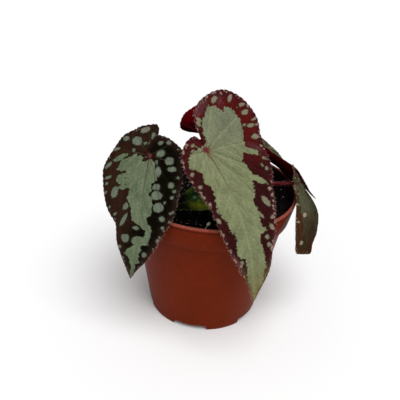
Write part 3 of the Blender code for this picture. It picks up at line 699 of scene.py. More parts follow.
bladeFront = plainBlade | {
    "node": "blade_front", "slot": "leaf_silver", "stalk": (-3.5, -30.0, 101.3), "tip": (23.0, -50.0, 38.0),
    "face": (0.15, -0.85, 0.4),
    "arch": 6.5, "bow": 5.0, "raiseRight": (0, 0), "raiseLeft": (14, 3),
    "veinsRight": (20, 46, 82, 118, 154), "veinsLeft": (16, 44, 84, 126),
    "right": ((0, 71.5), (3, 65.5), (7, 59.5), (12, 49.5), (18, 42.5), (26, 35.5), (38, 29), (55, 25.5),
        (78, 23.5), (110, 26.5), (140, 27), (165, 22), (182, 15), (187, 6)),
    "left": ((0, 71.5), (3, 61.5), (6, 55), (10, 47.5), (16, 37.5), (26, 25.5), (42, 19.5), (62, 15.5),
        (85, 12.5), (110, 10.5), (135, 9), (158, 7.5), (167, 5)),
    "stalkBend": 20.0, "stalkRadius": 1.25,
    "silverRight": ((-17.5, 7), (-16, 10.5), (-14.6, 13.4), (-13.4, 15.4), (-10.5, 16.8), (-6.7, 18.2),
        (-2, 17.2), (2, 16), (6, 13), (9, 10.8), (12.7, 11.8), (16, 11.6), (19, 10.4), (23.5, 9),
        (27.3, 7.2), (30.8, 8), (36, 7.4), (40, 8.8), (41.4, 5.4), (43.5, 4.9), (47.7, 5.7), (52, 5.8),
        (56.4, 5.9), (60, 4.8), (63, 4.2), (65, 2.6), (70, 0.6)),
    "silverLeft": ((-17.5, 6.6), (-14, 4), (-11, 1.8), (-7, 1), (-3, 1.2), (-1.9, -0.5), (-1.2, -5.8),
        (1, -8.5), (4.5, -11), (6, -9.4), (8.6, -7.4), (12, -8.3), (15, -6.6), (19.7, -7.3), (23, -8.2),
        (28, -7.8), (32, -6.2), (35, -6.3), (37, -4.7), (41, -5), (46, -6), (48.6, -4.4), (49.4, -2.6),
        (54, -2.7), (59.4, -2.6), (64, -1), (70, 0.2)),
    "fingers": ((6, 16, 3.9, 1.3, 55), (18, 13, 4.2, 1.3, 40)),
    "bites": ((-15.5, 11.4, 2.2, 1.3, 35), (19.5, 10.5, 0.7, 0.6, 0)),
    "spots": ((-19, 10, 1.8, 1.1, -55), (-17.5, 16.5, 1.6, 0.9, -30), (-13.5, 20.5, 1.4, 0.8, 90),
        (-10, 21, 1.6, 1.2, 90), (-13, 18.5, 0.4, 0.4, 0), (-6, 23.5, 0.9, 0.5, 85),
        (-4, 21.5, 1.7, 0.9, 90), (-5, 19, 0.9, 0.5, 90), (1, 21.5, 1.7, 1.2, 80), (-13, 1, 1.3, 0.8, 40),
        (-11.5, 0.5, 1.4, 0.9, 10), (-20.5, 13.5, 0.6, 0.5, 0), (-20, 6.5, 0.4, 0.4, 0),
        (-19, 5, 0.4, 0.4, 0), (-3.5, -5, 1, 0.7, -65), (-4.5, -7.5, 0.6, 0.6, 0),
        (-1.5, -6, 0.8, 0.5, -80), (-2.5, -3.5, 0.5, 0.4, 0), (-2, -10, 0.7, 0.7, 0),
        (1.5, -12.5, 0.7, 0.6, -60), (3.5, -13, 0.7, 0.5, -60), (7.5, -11.5, 1.1, 0.8, -55),
        (10.5, -13, 0.5, 0.5, 0), (10.5, 19.5, 0.7, 0.5, -55), (13, 17.5, 0.6, 0.6, 0),
        (15, 18.5, 0.9, 0.8, 0), (28, 12.5, 2.7, 1.2, 20), (23.5, 16, 0.9, 0.9, 0),
        (33, 8.5, 1.6, 0.6, 20), (35.5, 13, 0.9, 0.9, 0), (39.5, 11.5, 1.7, 0.9, 20),
        (43, 8.5, 1.2, 1, 35), (46.5, 8.5, 1.2, 1, 35), (13.5, -11, 1, 0.9, 0), (18, -11.5, 0.7, 0.6, 0),
        (21.5, -10.5, 0.8, 0.7, 0), (25.5, -8.5, 0.9, 0.8, 0), (29.5, -9.5, 1.4, 0.9, 10),
        (36, -10, 0.8, 0.8, 0), (40.5, -10, 0.8, 0.7, 0), (36, -5.5, 0.7, 0.7, 0),
        (44.5, -8.5, 0.6, 0.5, 35), (50.5, -4.5, 1.1, 0.8, 15), (52, -5, 0.8, 0.6, 35)),
    "rimDots": 44, "seed": 32, "lap": 9.0,
    "mauveTone": (94, 56, 60), "knot": 2.0,
    "mauve": ((-17.5, 3.2, 6.5, 1.9, -46), (-18, 12, 2.4, 1.5, 0), (5.2, 19, 3.6, 1.4, 47),
        (49, -7, 9, 1.3, 22)),
    "silver": (114, 120, 95), "silverFar": (120, 126, 92), "silverShift": (-10, 16),
    "ground": (80, 18, 16), "groundFar": (48, 16, 17), "groundShift": (1.0, -0.3, -8, 16),
    "groundEdge": (58, 20, 26), "halo": (50, 32, 22), "tipTone": (110, 96, 56), "tipSpan": (50, 71),
    "veinNear": (70, 36, 30), "veinFar": (146, 150, 112), "stalkPoint": (104, 40, 44), "rim": (104, 58, 54),
    "bead": (152, 118, 110), "beadGap": 1.7, "beads": 0.8, "spot": (124, 120, 98), "ragged": (1.3, 0.6),
    "streaks": 0.1,
}

bladeBack = plainBlade | {
    "node": "blade_back", "slot": "leaf_back", "stalk": (-1.5, 17.0, 89.5), "tip": (50.0, 9.5, 65.0),
    "face": (0.3, 0.0, 0.95),
    "arch": 3.1, "behind": 2.4, "raiseRight": (20, 5), "raiseLeft": (82, 48), "raiseSpan": (0.0, 0.45),
    "curl": (52, 30, 0.0), "sag": (45, 5.5, 1.8),
    "veinsRight": (18, 44, 84, 128), "veinsLeft": (18, 46, 84, 124, 156),
    "right": ((0, 63), (3, 54), (7, 46), (12, 41), (20, 37.5), (31, 33.5), (50, 25.5), (90, 17),
        (130, 14), (160, 12), (173, 6)),
    "left": ((0, 63), (2, 59), (6, 54), (11, 49.5), (16, 45), (20, 36), (25, 30), (35, 24.5), (60, 22),
        (90, 24), (115, 24.5), (138, 22), (158, 17.5), (172, 12.5), (180, 7)),
    "stalkBend": 12.0, "stalkRadius": 1.1,
    "silverRight": ((-7, 0), (-5, 6), (0, 11), (6, 13), (12, 11.5), (18, 14), (24, 10), (30, 8.5),
        (36, 5), (44, 3), (52, 1.6), (60, 0.5)),
    "silverLeft": ((-7, -1), (-8, -8), (-2, -14), (5, -16), (12, -13), (18, -14), (24, -9), (30, -7),
        (36, -5.5), (44, -2.6), (52, -1.4), (60, 0)),
    "spots": ((18, -18.5, 2.2, 1.4, -25), (27, -13, 2.4, 1.3, -15), (8, -20.5, 1.6, 2, 0),
        (-3, -19, 1.6, 1.9, 0), (-11, -14, 1.9, 1.4, 0), (34, -9, 1.7, 1, -10),
        (30.6, 12.8, 1.6, 1.2, -10), (15, 19, 1.4, 1.8, 0), (5, 18, 1.4, 1.6, 0), (37, 8.8, 2.5, 1.1, -5),
        (-8, 9, 1.3, 1.6, 0)),
    "rimDots": 40, "seed": 33, "lap": 3.0,
    "silver": (106, 112, 84), "silverFar": (112, 116, 84), "silverShift": (0, 30),
    "ground": (52, 30, 22), "groundFar": (70, 70, 46), "groundShift": (0.0, 1.0, 0, 10),
    "groundEdge": (64, 66, 44), "halo": (44, 44, 26), "tipTone": (90, 80, 52), "tipSpan": (54, 65),
    "veinNear": (84, 38, 36), "veinFar": (132, 136, 100), "stalkPoint": (112, 44, 48), "rim": (96, 84, 62),
    "bead": (140, 124, 96), "beadGap": 2.0, "beads": 0.5, "spot": (140, 128, 102),
}

bladeRight = plainBlade | {
    "node": "blade_right", "slot": "leaf_dull", "stalk": (41.5, -4.0, 75.5), "tip": (48.0, -13.0, 42.0),
    "face": (0.88, -0.43, 0.2),
    "arch": 4.5, "bow": -2.0, "raiseRight": (-20, 0), "raiseLeft": (7, 0), "raiseSpan": (0.0, 0.6),
    "curl": (34.9, 1.4, 0.4), "wave": 0.25,
    "veinsRight": (20, 46, 84, 128), "veinsLeft": (20, 46, 84, 128),
    "right": ((0, 36.5), (8, 38.6), (14, 40.4), (20, 38.5), (27, 33), (36, 26), (46, 20), (60, 14),
        (78, 8.5), (100, 6), (130, 5), (160, 4.5), (172, 4)),
    "left": ((0, 36.5), (10, 35), (20, 33), (28, 32), (36, 27.5), (46, 21.2), (60, 13), (78, 7.5),
        (105, 5.5), (140, 5.5), (165, 7), (175, 10), (180, 7)),
    "stalkBend": 14.0, "stalkRadius": 1.05,
    "silverRight": ((-3, 0), (0, 4), (6, 6.5), (12, 7), (18, 8), (24, 7), (30, 6), (36, 4), (40, 1)),
    "silverLeft": ((-3, -0.5), (0, -4), (6, -7), (12, -8.5), (18, -8), (24, -8), (30, -6), (36, -3),
        (40, -1)),
    "spots": ((13.3, -5.5, 2.9, 1.2, 75), (26.2, -9, 3.4, 1.1, 65), (3.5, -5.5, 1.6, 0.5, 80),
        (6.2, -6.3, 1.6, 0.5, 80), (6.9, -10.5, 1.4, 0.5, 75), (14.5, -13, 1.4, 0.5, 70)),
    "bites": ((13.3, -5.5, 3.1, 1.4, 75),),
    "rimDots": 16, "seed": 34,
    "silver": (79, 80, 60), "silverFar": (56, 44, 30), "silverShift": (8, 24),
    "ground": (62, 57, 40), "groundFar": (72, 42, 26), "groundShift": (1.0, -1.2, 12, 26),
    "groundEdge": (62, 50, 34), "halo": (56, 52, 34), "tipTone": (62, 38, 26), "tipSpan": (24, 35),
    "specular": 0.0,
    "veinNear": (68, 44, 34), "veinFar": (82, 78, 58), "stalkPoint": (84, 30, 36), "rim": (96, 84, 66),
    "bead": (150, 130, 104), "beadGap": 3.0, "beads": 0.6, "spot": (150, 142, 116), "ragged": (3.4, 1.2),
    "roughness": 0.55,
}

bladeYoung = plainBlade | {
    "node": "blade_young", "slot": "leaf_young", "stalk": (5.0, -12.0, 71.3), "tip": (-19.0, -23.5, 66.8),
    "face": (-0.1, -0.3, 0.95),
    "arch": 1.5, "raiseRight": (8, 4), "raiseLeft": (8, 6),
    "veinsRight": (26, 70, 120), "veinsLeft": (26, 70, 120),
    "right": ((0, 27), (8, 23), (20, 18.5), (38, 14.5), (65, 11.5), (100, 9), (140, 7), (165, 6),
        (174, 3.5)),
    "left": ((0, 27), (8, 22), (20, 17), (38, 12), (65, 8.5), (100, 7.5), (140, 6.5), (165, 5.5),
        (174, 3.5)),
    "stalkBend": 4.5, "stalkRadius": 0.8,
    "silverRight": ((-2, 0), (4, 0.7), (12, 0.5), (24, 0)),
    "silverLeft": ((-2, 0), (4, -0.7), (12, -0.5), (24, 0)),
    "spots": ((13.3, -0.8, 0.9, 0.8, 20), (12.6, 2.2, 0.8, 0.7, 0), (6, -4.5, 0.9, 0.7, 0),
        (5, 4, 0.7, 0.6, 0)),
    "bites": ((13.3, -0.8, 1.2, 1.1, 20),),
    "rimDots": 12, "puff": 0.2, "seed": 35,
    "silver": (66, 92, 44), "silverFar": (60, 92, 44), "silverShift": (4, 20),
    # on this blade the ground's two tones are painted shade and painted light: dark on its shaded side,
    # bright on its lit near side; the near-black tip tone is painted shadow
    "ground": (28, 54, 24), "groundFar": (148, 160, 40), "groundShift": (0.3, 1.0, 3, 9),
    "groundEdge": (84, 104, 34), "halo": (50, 84, 34), "tipTone": (4, 5, 3), "tipSpan": (13.5, 19.5),
    "tipShare": 0.985,
    "veinNear": (66, 60, 30), "veinFar": (96, 126, 60), "stalkPoint": (84, 50, 40), "rim": (96, 106, 50),
    "bead": (130, 140, 70), "beadGap": 4.0, "beads": 0.2, "spot": (112, 150, 112), "ragged": (2.0, 0.6),
    "roughness": 0.34,
}


def leafAxes(leaf):
    # the stalk point, the way to the tip, the way to the right, the upper side's way, and the length
    stalk = np.array(leaf["stalk"])
    along = np.array(leaf["tip"]) - stalk
    length = float(np.linalg.norm(along))
    along = along / length
    face = np.array(leaf["face"])
    face = unit(face - (face @ along) * along)
    return stalk, along, np.cross(face, along), face, length


def placeOnLeaf(leaf, x, y, extra):
    # the flat point x along the midrib and y to its right, bent: the midrib arches and bows, each
    # half is raised about it by an angle that changes along it, the end curls under on a circle,
    # and the midrib may sag for a stretch
    stalk, along, across, face, length = leafAxes(leaf)
    share = x / length
    ahead, behind = np.clip(share, 0.0, 1.0), np.minimum(share, 0.0)
    lift = leaf["arch"] * 4.0 * (ahead * (1.0 - ahead) + leaf["behind"] * behind)
    curlStart, curlRadius, skew = leaf["curl"]
    bendStart = curlStart + skew * y
    turned = np.clip((x - bendStart) / curlRadius, 0.0, 2.6)
    forward = np.minimum(x, bendStart) + curlRadius * np.sin(turned)
    lift = lift - curlRadius * (1.0 - np.cos(turned))
    sagMiddle, sagWidth, sagDepth = leaf["sag"]
    lift = lift - sagDepth * np.exp(-(((x - sagMiddle) / sagWidth) ** 2) - (y / blade["sagReach"]) ** 2)
    change = smoothStep(share, *leaf["raiseSpan"])
    right, left = (start + (end - start) * change for start, end in (leaf["raiseRight"], leaf["raiseLeft"]))
    raised = np.radians(np.where(y > 0.0, right, left))
    sideways = y * np.cos(raised) + leaf["bow"] * 4.0 * ahead * (1.0 - ahead)
    rounding = blade["foldRounding"]
    lift = lift + np.sin(raised) * (np.sqrt(y * y + rounding**2) - rounding) + extra
    return stalk + forward[..., None] * along + sideways[..., None] * across + lift[..., None] * face


def reachAt(leaf, angles):
    right = curveThrough(leaf["right"], np.maximum(angles, 0.0))
    left = curveThrough(leaf["left"], np.maximum(-angles, 0.0))
    return np.where(angles >= 0.0, right, left)


def leafColumns(leaf):
    # the columns' angles: one on each vein, and between two veins as many as the margin's length
    # asks for, at equal steps along it; with each its share of the way between the two veins and
    # its distance along the margin
    bounds = [-leaf["left"][-1][0] - leaf["lap"]] + [-v for v in reversed(leaf["veinsLeft"])]
    bounds += [0] + list(leaf["veinsRight"]) + [leaf["right"][-1][0]]
    angles, shares, run = [], [], []
    done = 0.0
    for start, end in zip(bounds[:-1], bounds[1:]):
        fine = np.linspace(start, end, 200)
        reach = reachAt(leaf, fine)
        edge = np.stack([reach * np.cos(np.radians(fine)), reach * np.sin(np.radians(fine))], -1)
        length = np.concatenate([[0.0], np.cumsum(np.linalg.norm(np.diff(edge, axis=0), axis=1))])
        count = max(4, int(math.ceil(length[-1] / blade["spacing"])))
        at = np.arange(count) / count * length[-1]
        found = np.interp(at, length, fine)
        angles.append(found)
        shares.append((found - start) / (end - start))
        run.append(done + at)
        done += length[-1]
    return (np.append(np.concatenate(angles), bounds[-1]), np.append(np.concatenate(shares), 1.0),
            np.append(np.concatenate(run), done))


def spotField(spots, x, y):
    # how far inside the nearest oval a point is, in millimetres: one less its distance in half
    # lengths and half widths, times the mean of the two
    field = np.full(x.shape, -9.0)
    for along, across, longHalf, wideHalf, turn in spots:
        c, s = math.cos(math.radians(turn)), math.sin(math.radians(turn))
        u, v = (x - along) * c + (y - across) * s, (y - across) * c - (x - along) * s
        inside = (1.0 - np.sqrt((u / longHalf) ** 2 + (v / wideHalf) ** 2)) * math.sqrt(longHalf * wideHalf)
        field = np.maximum(field, inside)
    return field


def patchField(leaf, x, y):
    # how far inside the silver patch a point is: its distance across to the nearer edge, less
    # where that edge runs steeply
    field = np.full(x.shape, 99.0)
    for side, pairs in ((1.0, leaf["silverRight"]), (-1.0, leaf["silverLeft"])):
        edge = curveThrough(pairs, x)
        slope = (curveThrough(pairs, x + 0.3) - curveThrough(pairs, x - 0.3)) / 0.6
        field = np.minimum(field, side * (edge - y) / np.sqrt(1.0 + slope * slope))
    start, end = leaf["silverRight"][0][0], leaf["silverRight"][-1][0]
    return np.minimum(field, np.minimum(x - start, end - x))


def rimDots(leaf, angles):
    # small dots at random along the margin, just inside it
    random = np.random.default_rng(leaf["seed"])
    spots = []
    for angle in random.choice(angles[6:-6], leaf["rimDots"], replace=False):
        reach = float(reachAt(leaf, np.array([angle]))[0]) - random.uniform(0.5, 1.5)
        size = random.uniform(0.32, 0.68)
        turn = math.radians(angle)
        wide = size * random.uniform(0.7, 1.1)
        spots.append((reach * math.cos(turn), reach * math.sin(turn), size, wide, 0))
    return spots


def sheetNormals(grid):
    # the way each point of the sheet faces: its steps outwards and sideways, crossed
    out, over = np.gradient(grid, axis=0), np.gradient(grid, axis=1)
    return unit(np.cross(out, over))


def leafTop(leaf):
    # upper side: a dark ground of two tones that reddens towards the margin, a ragged silver patch
    # and spots with a green halo, veins as fine lines, a pink stalk point, and a cushioned surface
    material, tree, shader = newMaterial(leaf["node"] + "Top", leaf["roughness"], leaf["specular"])
    flat = attribute(tree, "flat", "Vector")
    edge, vein, side, fromStalk, spots = (
        attribute(tree, name) for name in ("edge", "vein", "sideVein", "fromStalk", "spots"))
    lengthwise, across, _ = split(flat)
    size, depth = leaf["ragged"]
    patch = useGroup(raggedMask, "Mask", Field=attribute(tree, "patch"), Place=flat, Size=size, Depth=depth)
    dots = useGroup(raggedMask, "Mask", Field=spots, Place=flat, Size=1.1, Depth=0.3)
    net = useGroup(netting, "Lines", Place=flat, Size=1.9)
    wander = cloud(flat, 0.16, 3.0)

    shareAlong, shareAcross, start, end = leaf["groundShift"]
    slant = lengthwise * shareAlong + across * shareAcross + (wander - 0.5) * 12.0
    # near the cleft the right lobe takes the far ground tone; on the left blade this is painted shade, where
    # that lobe lies under the left one
    slant = slant + ramped(attribute(tree, "turn"), 1.3, 1.65, 0.0, 9.0)
    ground = mixed(ramped(slant, start, end), leaf["ground"], leaf["groundFar"])
    ground = mixed(ramped(edge + wander * 5.0, 2.4, 6.0, 0.8, 0.0), ground, leaf["groundEdge"])
    if leaf["mauve"]:
        mauve = attribute(tree, "mauve") + cloud(flat, 1.1, 4.0, 0.7) * 7.0
        ground = mixed(ramped(mauve, 2.8, 4.9, 0.0, 0.6), ground, leaf["mauveTone"])
    halo = maths("MAXIMUM", patch.also("Band"), dots.also("Band")) * 0.7
    ground = mottled(mixed(halo, ground, leaf["halo"]), flat, 6.0, 0.45)

    silver = mixed(ramped(lengthwise, *leaf["silverShift"]), leaf["silver"], leaf["silverFar"])
    silver = mixed(net * 0.22, silver, leaf["ground"])
    # broad lighter and darker patches on the silver: painted shade of the leaf's relief
    silver = brightened(silver, ramped(cloud(flat, 0.13), 0.3, 0.7, 0.86, 1.12))
    spot = mixed(ramped(spots, 0.0, 0.6, 0.35, 0.0), leaf["spot"], leaf["halo"])
    spot = mixed(ramped(edge, 0.8, 2.4, 0.6, 0.0), spot, leaf["bead"])
    colour = mixed(dots, ground, mottled(spot, flat, 1.3, 0.16))
    colour = mixed(patch, colour, mottled(silver, flat, 1.3, 0.16))
    tipStart, tipEnd = (place + 2.5 for place in leaf["tipSpan"])
    tip = ramped(lengthwise + wander * 5.0, tipStart, tipEnd, 0.0, leaf["tipShare"])
    colour = mixed(tip, colour, leaf["tipTone"])

    colour = mixed(ramped(vein, 0.3, 3.6, 0.24, 0.0) * patch, colour, leaf["veinFar"])
    midrib = ramped(lengthwise, 0.0, 2.0) * ramped(lengthwise, 12.0, 26.0, 1.0, 0.0)
    midrib = ramped(abs(across), 0.4, 0.9, 1.0, 0.0) * midrib
    reach = fromStalk - midrib * 26.0
    veinColour = mixed(ramped(reach, 1.5, 6.5), leaf["veinNear"], leaf["veinFar"])
    veinColour = mixed(midrib * 0.6, veinColour, leaf["ground"])
    strength = patch * 0.45 + ramped(fromStalk, 2.0, 12.0, 0.4, 0.03)
    colour = mixed(ramped(vein, 0.12, 0.5, 1.0, 0.0) * strength, colour, veinColour)
    colour = mixed(ramped(side, 0.06, 0.5, 0.3, 0.0) * patch, colour, leaf["veinFar"])
    knot = ramped(fromStalk + cloud(flat, 0.9) * 2.4, leaf["knot"], leaf["knot"] + 1.4, 0.9, 0.0)
    colour = mixed(knot, colour, leaf["stalkPoint"])

    # beads: small pale dots of several sizes along the margin, in runs with gaps between
    along = attribute(tree, "run") / leaf["beadGap"] + wander * 3.0
    along = (maths("FRACT", along) - 0.5) * leaf["beadGap"]
    inwards = edge - 0.55
    apart = maths("SQRT", along * along + inwards * inwards) + cloud(flat, 0.8) * 0.9
    beads = ramped(apart, 0.58, 0.82, leaf["beads"], 0.0) * ramped(cloud(flat, 0.33, 3.0), 0.44, 0.56)
    colour = mixed(ramped(edge + cloud(flat, 0.9) * 0.5, 0.25, 0.6, 0.5, 0.0), colour, leaf["rim"])
    bead = mixed(ramped(lengthwise, 5.0, 25.0, 0.0, 0.6), leaf["bead"], leaf["spot"])
    streak = ramped(cloud(flat, 0.75, 3.0, 0.6, (0.2, 1.0, 1.0)), 0.42, 0.62, 0.0, leaf["streaks"])
    wire(brightened(mixed(beads, colour, bead), 1.0 - streak), shader["Base Color"])
    wire(wander * 0.16 + (leaf["roughness"] - 0.08), shader["Roughness"])
    wire(bumped(net.also("Height"), 0.26, bumped(cloud(flat, 3.4), 0.08)), shader["Normal"])
    return material


underside = {
    "crimson": (102, 3, 12), "deep": (52, 2, 6), "foldShadeTone": (14, 2, 4), "vein": (92, 22, 22),
    "greenish": (60, 44, 26), "roughness": 0.40, "specular": 0.018,
}


def leafUnder(name, colour, foldShadeShare=0.0):
    # underside: one strong colour, deeper in patches, with paler veins that stand proud, and on a folded
    # blade painted shade that darkens it towards the midrib
    material, tree, shader = newMaterial(name, underside["roughness"], underside["specular"])
    flat = attribute(tree, "flat", "Vector")
    net = useGroup(netting, "Lines", Place=flat, Size=1.9)
    # painted shade towards the midrib of a folded blade
    inner = ramped(abs(split(flat)[1]), 3.0, 11.0, foldShadeShare, 0.0)
    deeper = maths("MAXIMUM", ramped(cloud(flat, 0.12), 0.4, 0.7), inner)
    ground = mixed(inner * 0.8, mixed(deeper, colour, underside["deep"]), underside["foldShadeTone"])
    ground = mixed(net * 0.2, mottled(ground, flat, 6.0, 0.2), underside["vein"])
    mask = maths("MAXIMUM", ramped(attribute(tree, "vein"), 0.4, 1.3, 0.6, 0.0),
                 ramped(attribute(tree, "sideVein"), 0.15, 0.5, 0.35, 0.0))
    wire(mixed(mask, ground, underside["vein"]), shader["Base Color"])
    wire(bumped(net * 0.6, 0.12), shader["Normal"])
    return material


def hairMaterial():
    material, tree, shader = newMaterial("paleHair", 0.4)
    wire(mottled(blade["hair"], objectPlace(tree), 3.0, 0.25), shader["Base Color"])
    return material


crimsonUnder = leafUnder("crimsonUnder", underside["crimson"])
foldShadeUnder = leafUnder("foldShadeUnder", underside["crimson"], 1.0)
greenUnder = leafUnder("greenUnder", underside["greenish"])
paleHair = hairMaterial()


def veinFields(leaf, turn, ring, x, y):
    # how far each point is from the nearest vein, in widths of that vein, which narrow outwards; how
    # far from the nearest side vein, in millimetres; and a swelling from 0 to 1 between side veins
    vein = np.full(x.shape, 99.0)
    for angle in [-v for v in leaf["veinsLeft"]] + [0] + list(leaf["veinsRight"]):
        apart = np.abs(turn - math.radians(angle))
        gap = np.where(apart < 1.4, np.hypot(x, y) * np.sin(np.minimum(apart, 1.4)), 99.0)
        width = blade["veinWidth"] * (1.6 if angle == 0 else 1.0) * (1.15 - 0.75 * ring)
        vein = np.minimum(vein, gap / width)
    rank = (x - blade["sideLean"] * np.abs(y) - blade["sideBend"] * y * y) / blade["sideSpacing"]
    sideVein = np.abs(rank - np.round(rank)) * blade["sideSpacing"] * 0.62
    offMidrib = smoothStep(np.abs(y), 0.2, 1.6) * smoothStep(x, -4.0, 4.0)
    sideVein = np.where(offMidrib > 0.02, sideVein / np.maximum(offMidrib, 0.02), 99.0)
    return vein, sideVein, np.sin(np.pi * rank) ** 2 * offMidrib * smoothStep(1.0 - ring, 0.0, 0.15)


def sheetFaces(rows, columns):
    # a fan round the stalk point and squares out to the margin, once for each side, and a strip that
    # joins the two along the margin and the cleft; and the number of each face's material
    total = 1 + rows * columns
    number = np.arange(1, total).reshape(rows, columns)
    fan = np.stack([np.zeros(columns - 1, int), number[0, :-1], number[0, 1:]], -1)
    quads = gridFaces(rows, columns, first=1)[:, ::-1]
    loop = np.concatenate([[0], number[:, 0], number[-1, 1:], number[:-1, -1][::-1]])
    after = np.roll(loop, -1)
    strip = np.stack([after, loop, loop + total, after + total], -1)
    parts = (fan, quads, fan[:, ::-1] + total, quads[:, ::-1] + total, strip)
    which = np.repeat((0, 0, 1, 1, 0), [len(part) for part in parts])
    return [face for part in parts for face in part.tolist()], which


def makeFringe(leaf, top, bottom, run):
    # hairs that stand out from the margin
    random = np.random.default_rng(leaf["seed"] + 100)
    count = int(run[-1] / blade["hairSpacing"])
    pick = np.interp(np.sort(random.uniform(0.0, run[-1], count)), run, np.arange(len(run)))
    pick = np.clip(np.round(pick).astype(int), 1, len(run) - 2)
    rimPoint = (top[-1] + bottom[-1]) / 2.0
    tangent = unit(np.roll(rimPoint, -1, 0) - np.roll(rimPoint, 1, 0))
    outwards = top[-1] - top[-2]
    outwards = unit(outwards - (outwards * tangent).sum(1, keepdims=True) * tangent)
    ways = outwards[pick] + random.normal(0.0, blade["hairSpread"], (count, 3))
    lengths = random.uniform(*blade["hairLength"], count)
    points, faces = hairMesh(rimPoint[pick], ways, lengths, blade["hairThickness"], blade["droop"])
    settle(makePiece(leaf["node"].replace("blade", "fringe"), points, faces, [paleHair]), leaf["slot"])


def makeLeaf(leaf, under):
    # rings by columns of the flat blade, bent as the leaf is: the top swells between the veins, waves
    # towards the margin and has cushions and sunk veins, and the bottom lies a thickness below it
    angles, between, run = leafColumns(leaf)
    turn = np.radians(angles)[None]
    teeth = (run + 0.6 * softNoise(run, run * 0.0, 5.0, leaf["seed"])) / blade["toothSpacing"]
    fullReach = reachAt(leaf, angles)
    gap = 1.0 - np.abs(np.sin(np.pi * teeth)) ** 0.7
    reach = fullReach - blade["tooth"] * gap * smoothStep(fullReach, 5.0, 10.0)
    ring = np.linspace(0.0, 1.0, blade["rings"] + 1)[1:, None]
    x, y = ring * reach * np.cos(turn), ring * reach * np.sin(turn)
    fromStalk = np.hypot(x, y)
    vein, sideVein, cushion = veinFields(leaf, turn, ring, x, y)

    swell = leaf["puff"] * 4.0 * between * (1.0 - between) * 4.0 * ring * (1.0 - ring)
    size = fullReach / leaf["right"][0][1]
    wave = leaf["wave"] * ring**3 * np.minimum(4.0 * size, 1.0)
    wave = wave * np.sin(blade["waves"] * turn) * (1.0 - np.abs(np.cos(turn)) ** 8)
    sunk = blade["veinSink"] * (np.exp(-(vein * 0.8) ** 2) + 0.5 * np.exp(-(sideVein / 0.5) ** 2))
    bumps = sum(high * softNoise(x, y, size, leaf["seed"] + more) for high, size, more in blade["bumps"])
    bumps = (bumps + blade["cushion"] * cushion) * smoothStep(vein, 0.0, 4.0)

    # the left lobe, where it laps behind the right one, drops away below it
    behind = smoothStep(-angles, -angles[0] - 50.0, -angles[0] - 18.0) * (leaf["lap"] > 0.0)
    drop = blade["lapDrop"] * behind * smoothStep(fromStalk, 0.0, 5.0)
    fade = smoothStep(ring, 0.0, 0.12)
    top = placeOnLeaf(leaf, x, y, swell + wave - drop - (sunk - bumps) * fade)
    inwards = 1.0 - smoothStep((1.0 - ring) * reach, 0.0, 2.2)
    thick = blade["thickness"] + (blade["rimThickness"] - blade["thickness"]) * inwards
    ridge = blade["veinRidge"] * (np.exp(-(vein * 0.7) ** 2) * (1.1 - ring)
                                  + 0.35 * np.exp(-(sideVein / 0.4) ** 2))
    bottom = top - sheetNormals(top) * (thick + ridge * fade)[..., None]
    centre = placeOnLeaf(leaf, np.zeros(1), np.zeros(1), np.zeros(1))
    under0 = centre - leafAxes(leaf)[3] * (blade["thickness"] + blade["veinRidge"] * 0.6)

    def both(values, middle, most=9.0):
        # the same values on both sides, with the stalk point's own first
        one = np.append(middle, np.clip(np.broadcast_to(values, x.shape), -most, most))
        return np.concatenate([one, one])

    spots = np.maximum(spotField(leaf["spots"], x, y), spotField(rimDots(leaf, angles), x, y))
    patch = np.maximum(patchField(leaf, x, y), spotField(leaf["fingers"], x, y))
    patch = np.minimum(patch, -spotField(leaf["bites"], x, y))
    edge = (1.0 - ring) * reach * np.clip(0.35 + 0.65 * np.abs(np.sin(turn)), 0.0, 1.0)
    values = {"flat": np.stack([both(x, 0.0, 999.0), both(y, 0.0, 999.0), both(0.0, 0.0)], -1),
              "patch": both(patch, -0.5), "edge": both(edge, 9.0), "spots": both(spots, -9.0),
              "vein": both(vein, 0.0), "sideVein": both(sideVein, 9.0), "turn": both(angles / 100.0, 0.0),
              "mauve": both(spotField(leaf["mauve"], x, y), -9.0),
              "run": both(run, 0.0, 999.0), "fromStalk": both(fromStalk, 0.0, 999.0)}
    points = np.concatenate([centre, top.reshape(-1, 3), under0, bottom.reshape(-1, 3)])
    faces, which = sheetFaces(*x.shape)
    name = leaf["node"].replace("blade", "leaf")
    settle(makePiece(name, points, faces, [leafTop(leaf), under], which, values), leaf["slot"], leaf["node"])
    makeFringe(leaf, top, bottom, run)


leaves = (bladeLeft, bladeFront, bladeBack, bladeRight, bladeYoung)
for leaf, under in zip(leaves, (crimsonUnder, crimsonUnder, foldShadeUnder, crimsonUnder, greenUnder)):
    makeLeaf(leaf, under)
    print("leaf made:", leaf["node"])


# Rootstock: a short upright stem, and a hairy red stalk to the underside of each blade

stem = {
    "root": (1.5, 6.0, 63.5), "offset": 0.8, "taper": (1.15, 0.9), "steps": 54, "sides": 20,
    "crown": ((50, 2), (52, 3.2), (62.5, 3.2), (65, 4.1), (66.7, 3.5), (67.5, 1.7)),  # (height, radius)
    "crownSteps": 40, "crownSides": 32,
    "bark": (58, 34, 24), "stalk": (80, 14, 22), "stalkPale": (98, 38, 40),
    "hairCount": 300, "hairStretch": 45.0, "hairLength": (0.45, 1.1), "hairThickness": 0.045,
    "hairSpread": 0.25, "droop": (0.0, 0.0, -0.1),
}


def stalkMaterial():
    # fleshy red stalk with lengthwise streaks, paler flecks and a soft sheen
    material, tree, shader = newMaterial("redStalk", 0.45, 0.12)
    place = attribute(tree, "along", "Vector")
    streak = cloud(place, 0.9, 3.0, 0.6, (0.12, 1.6, 1.0))
    colour = mixed(ramped(streak, 0.42, 0.68, 0.0, 0.75), stem["stalk"], stem["stalkPale"])
    flecks = ramped(cells(place, 0.8, "F1"), 0.10, 0.2, 0.6, 0.0)
    colour = mixed(flecks, colour, stem["stalkPale"])
    wire(mottled(colour, place, 5.0, 0.2), shader["Base Color"])
    wire(bumped(streak, 0.12), shader["Normal"])
    return material


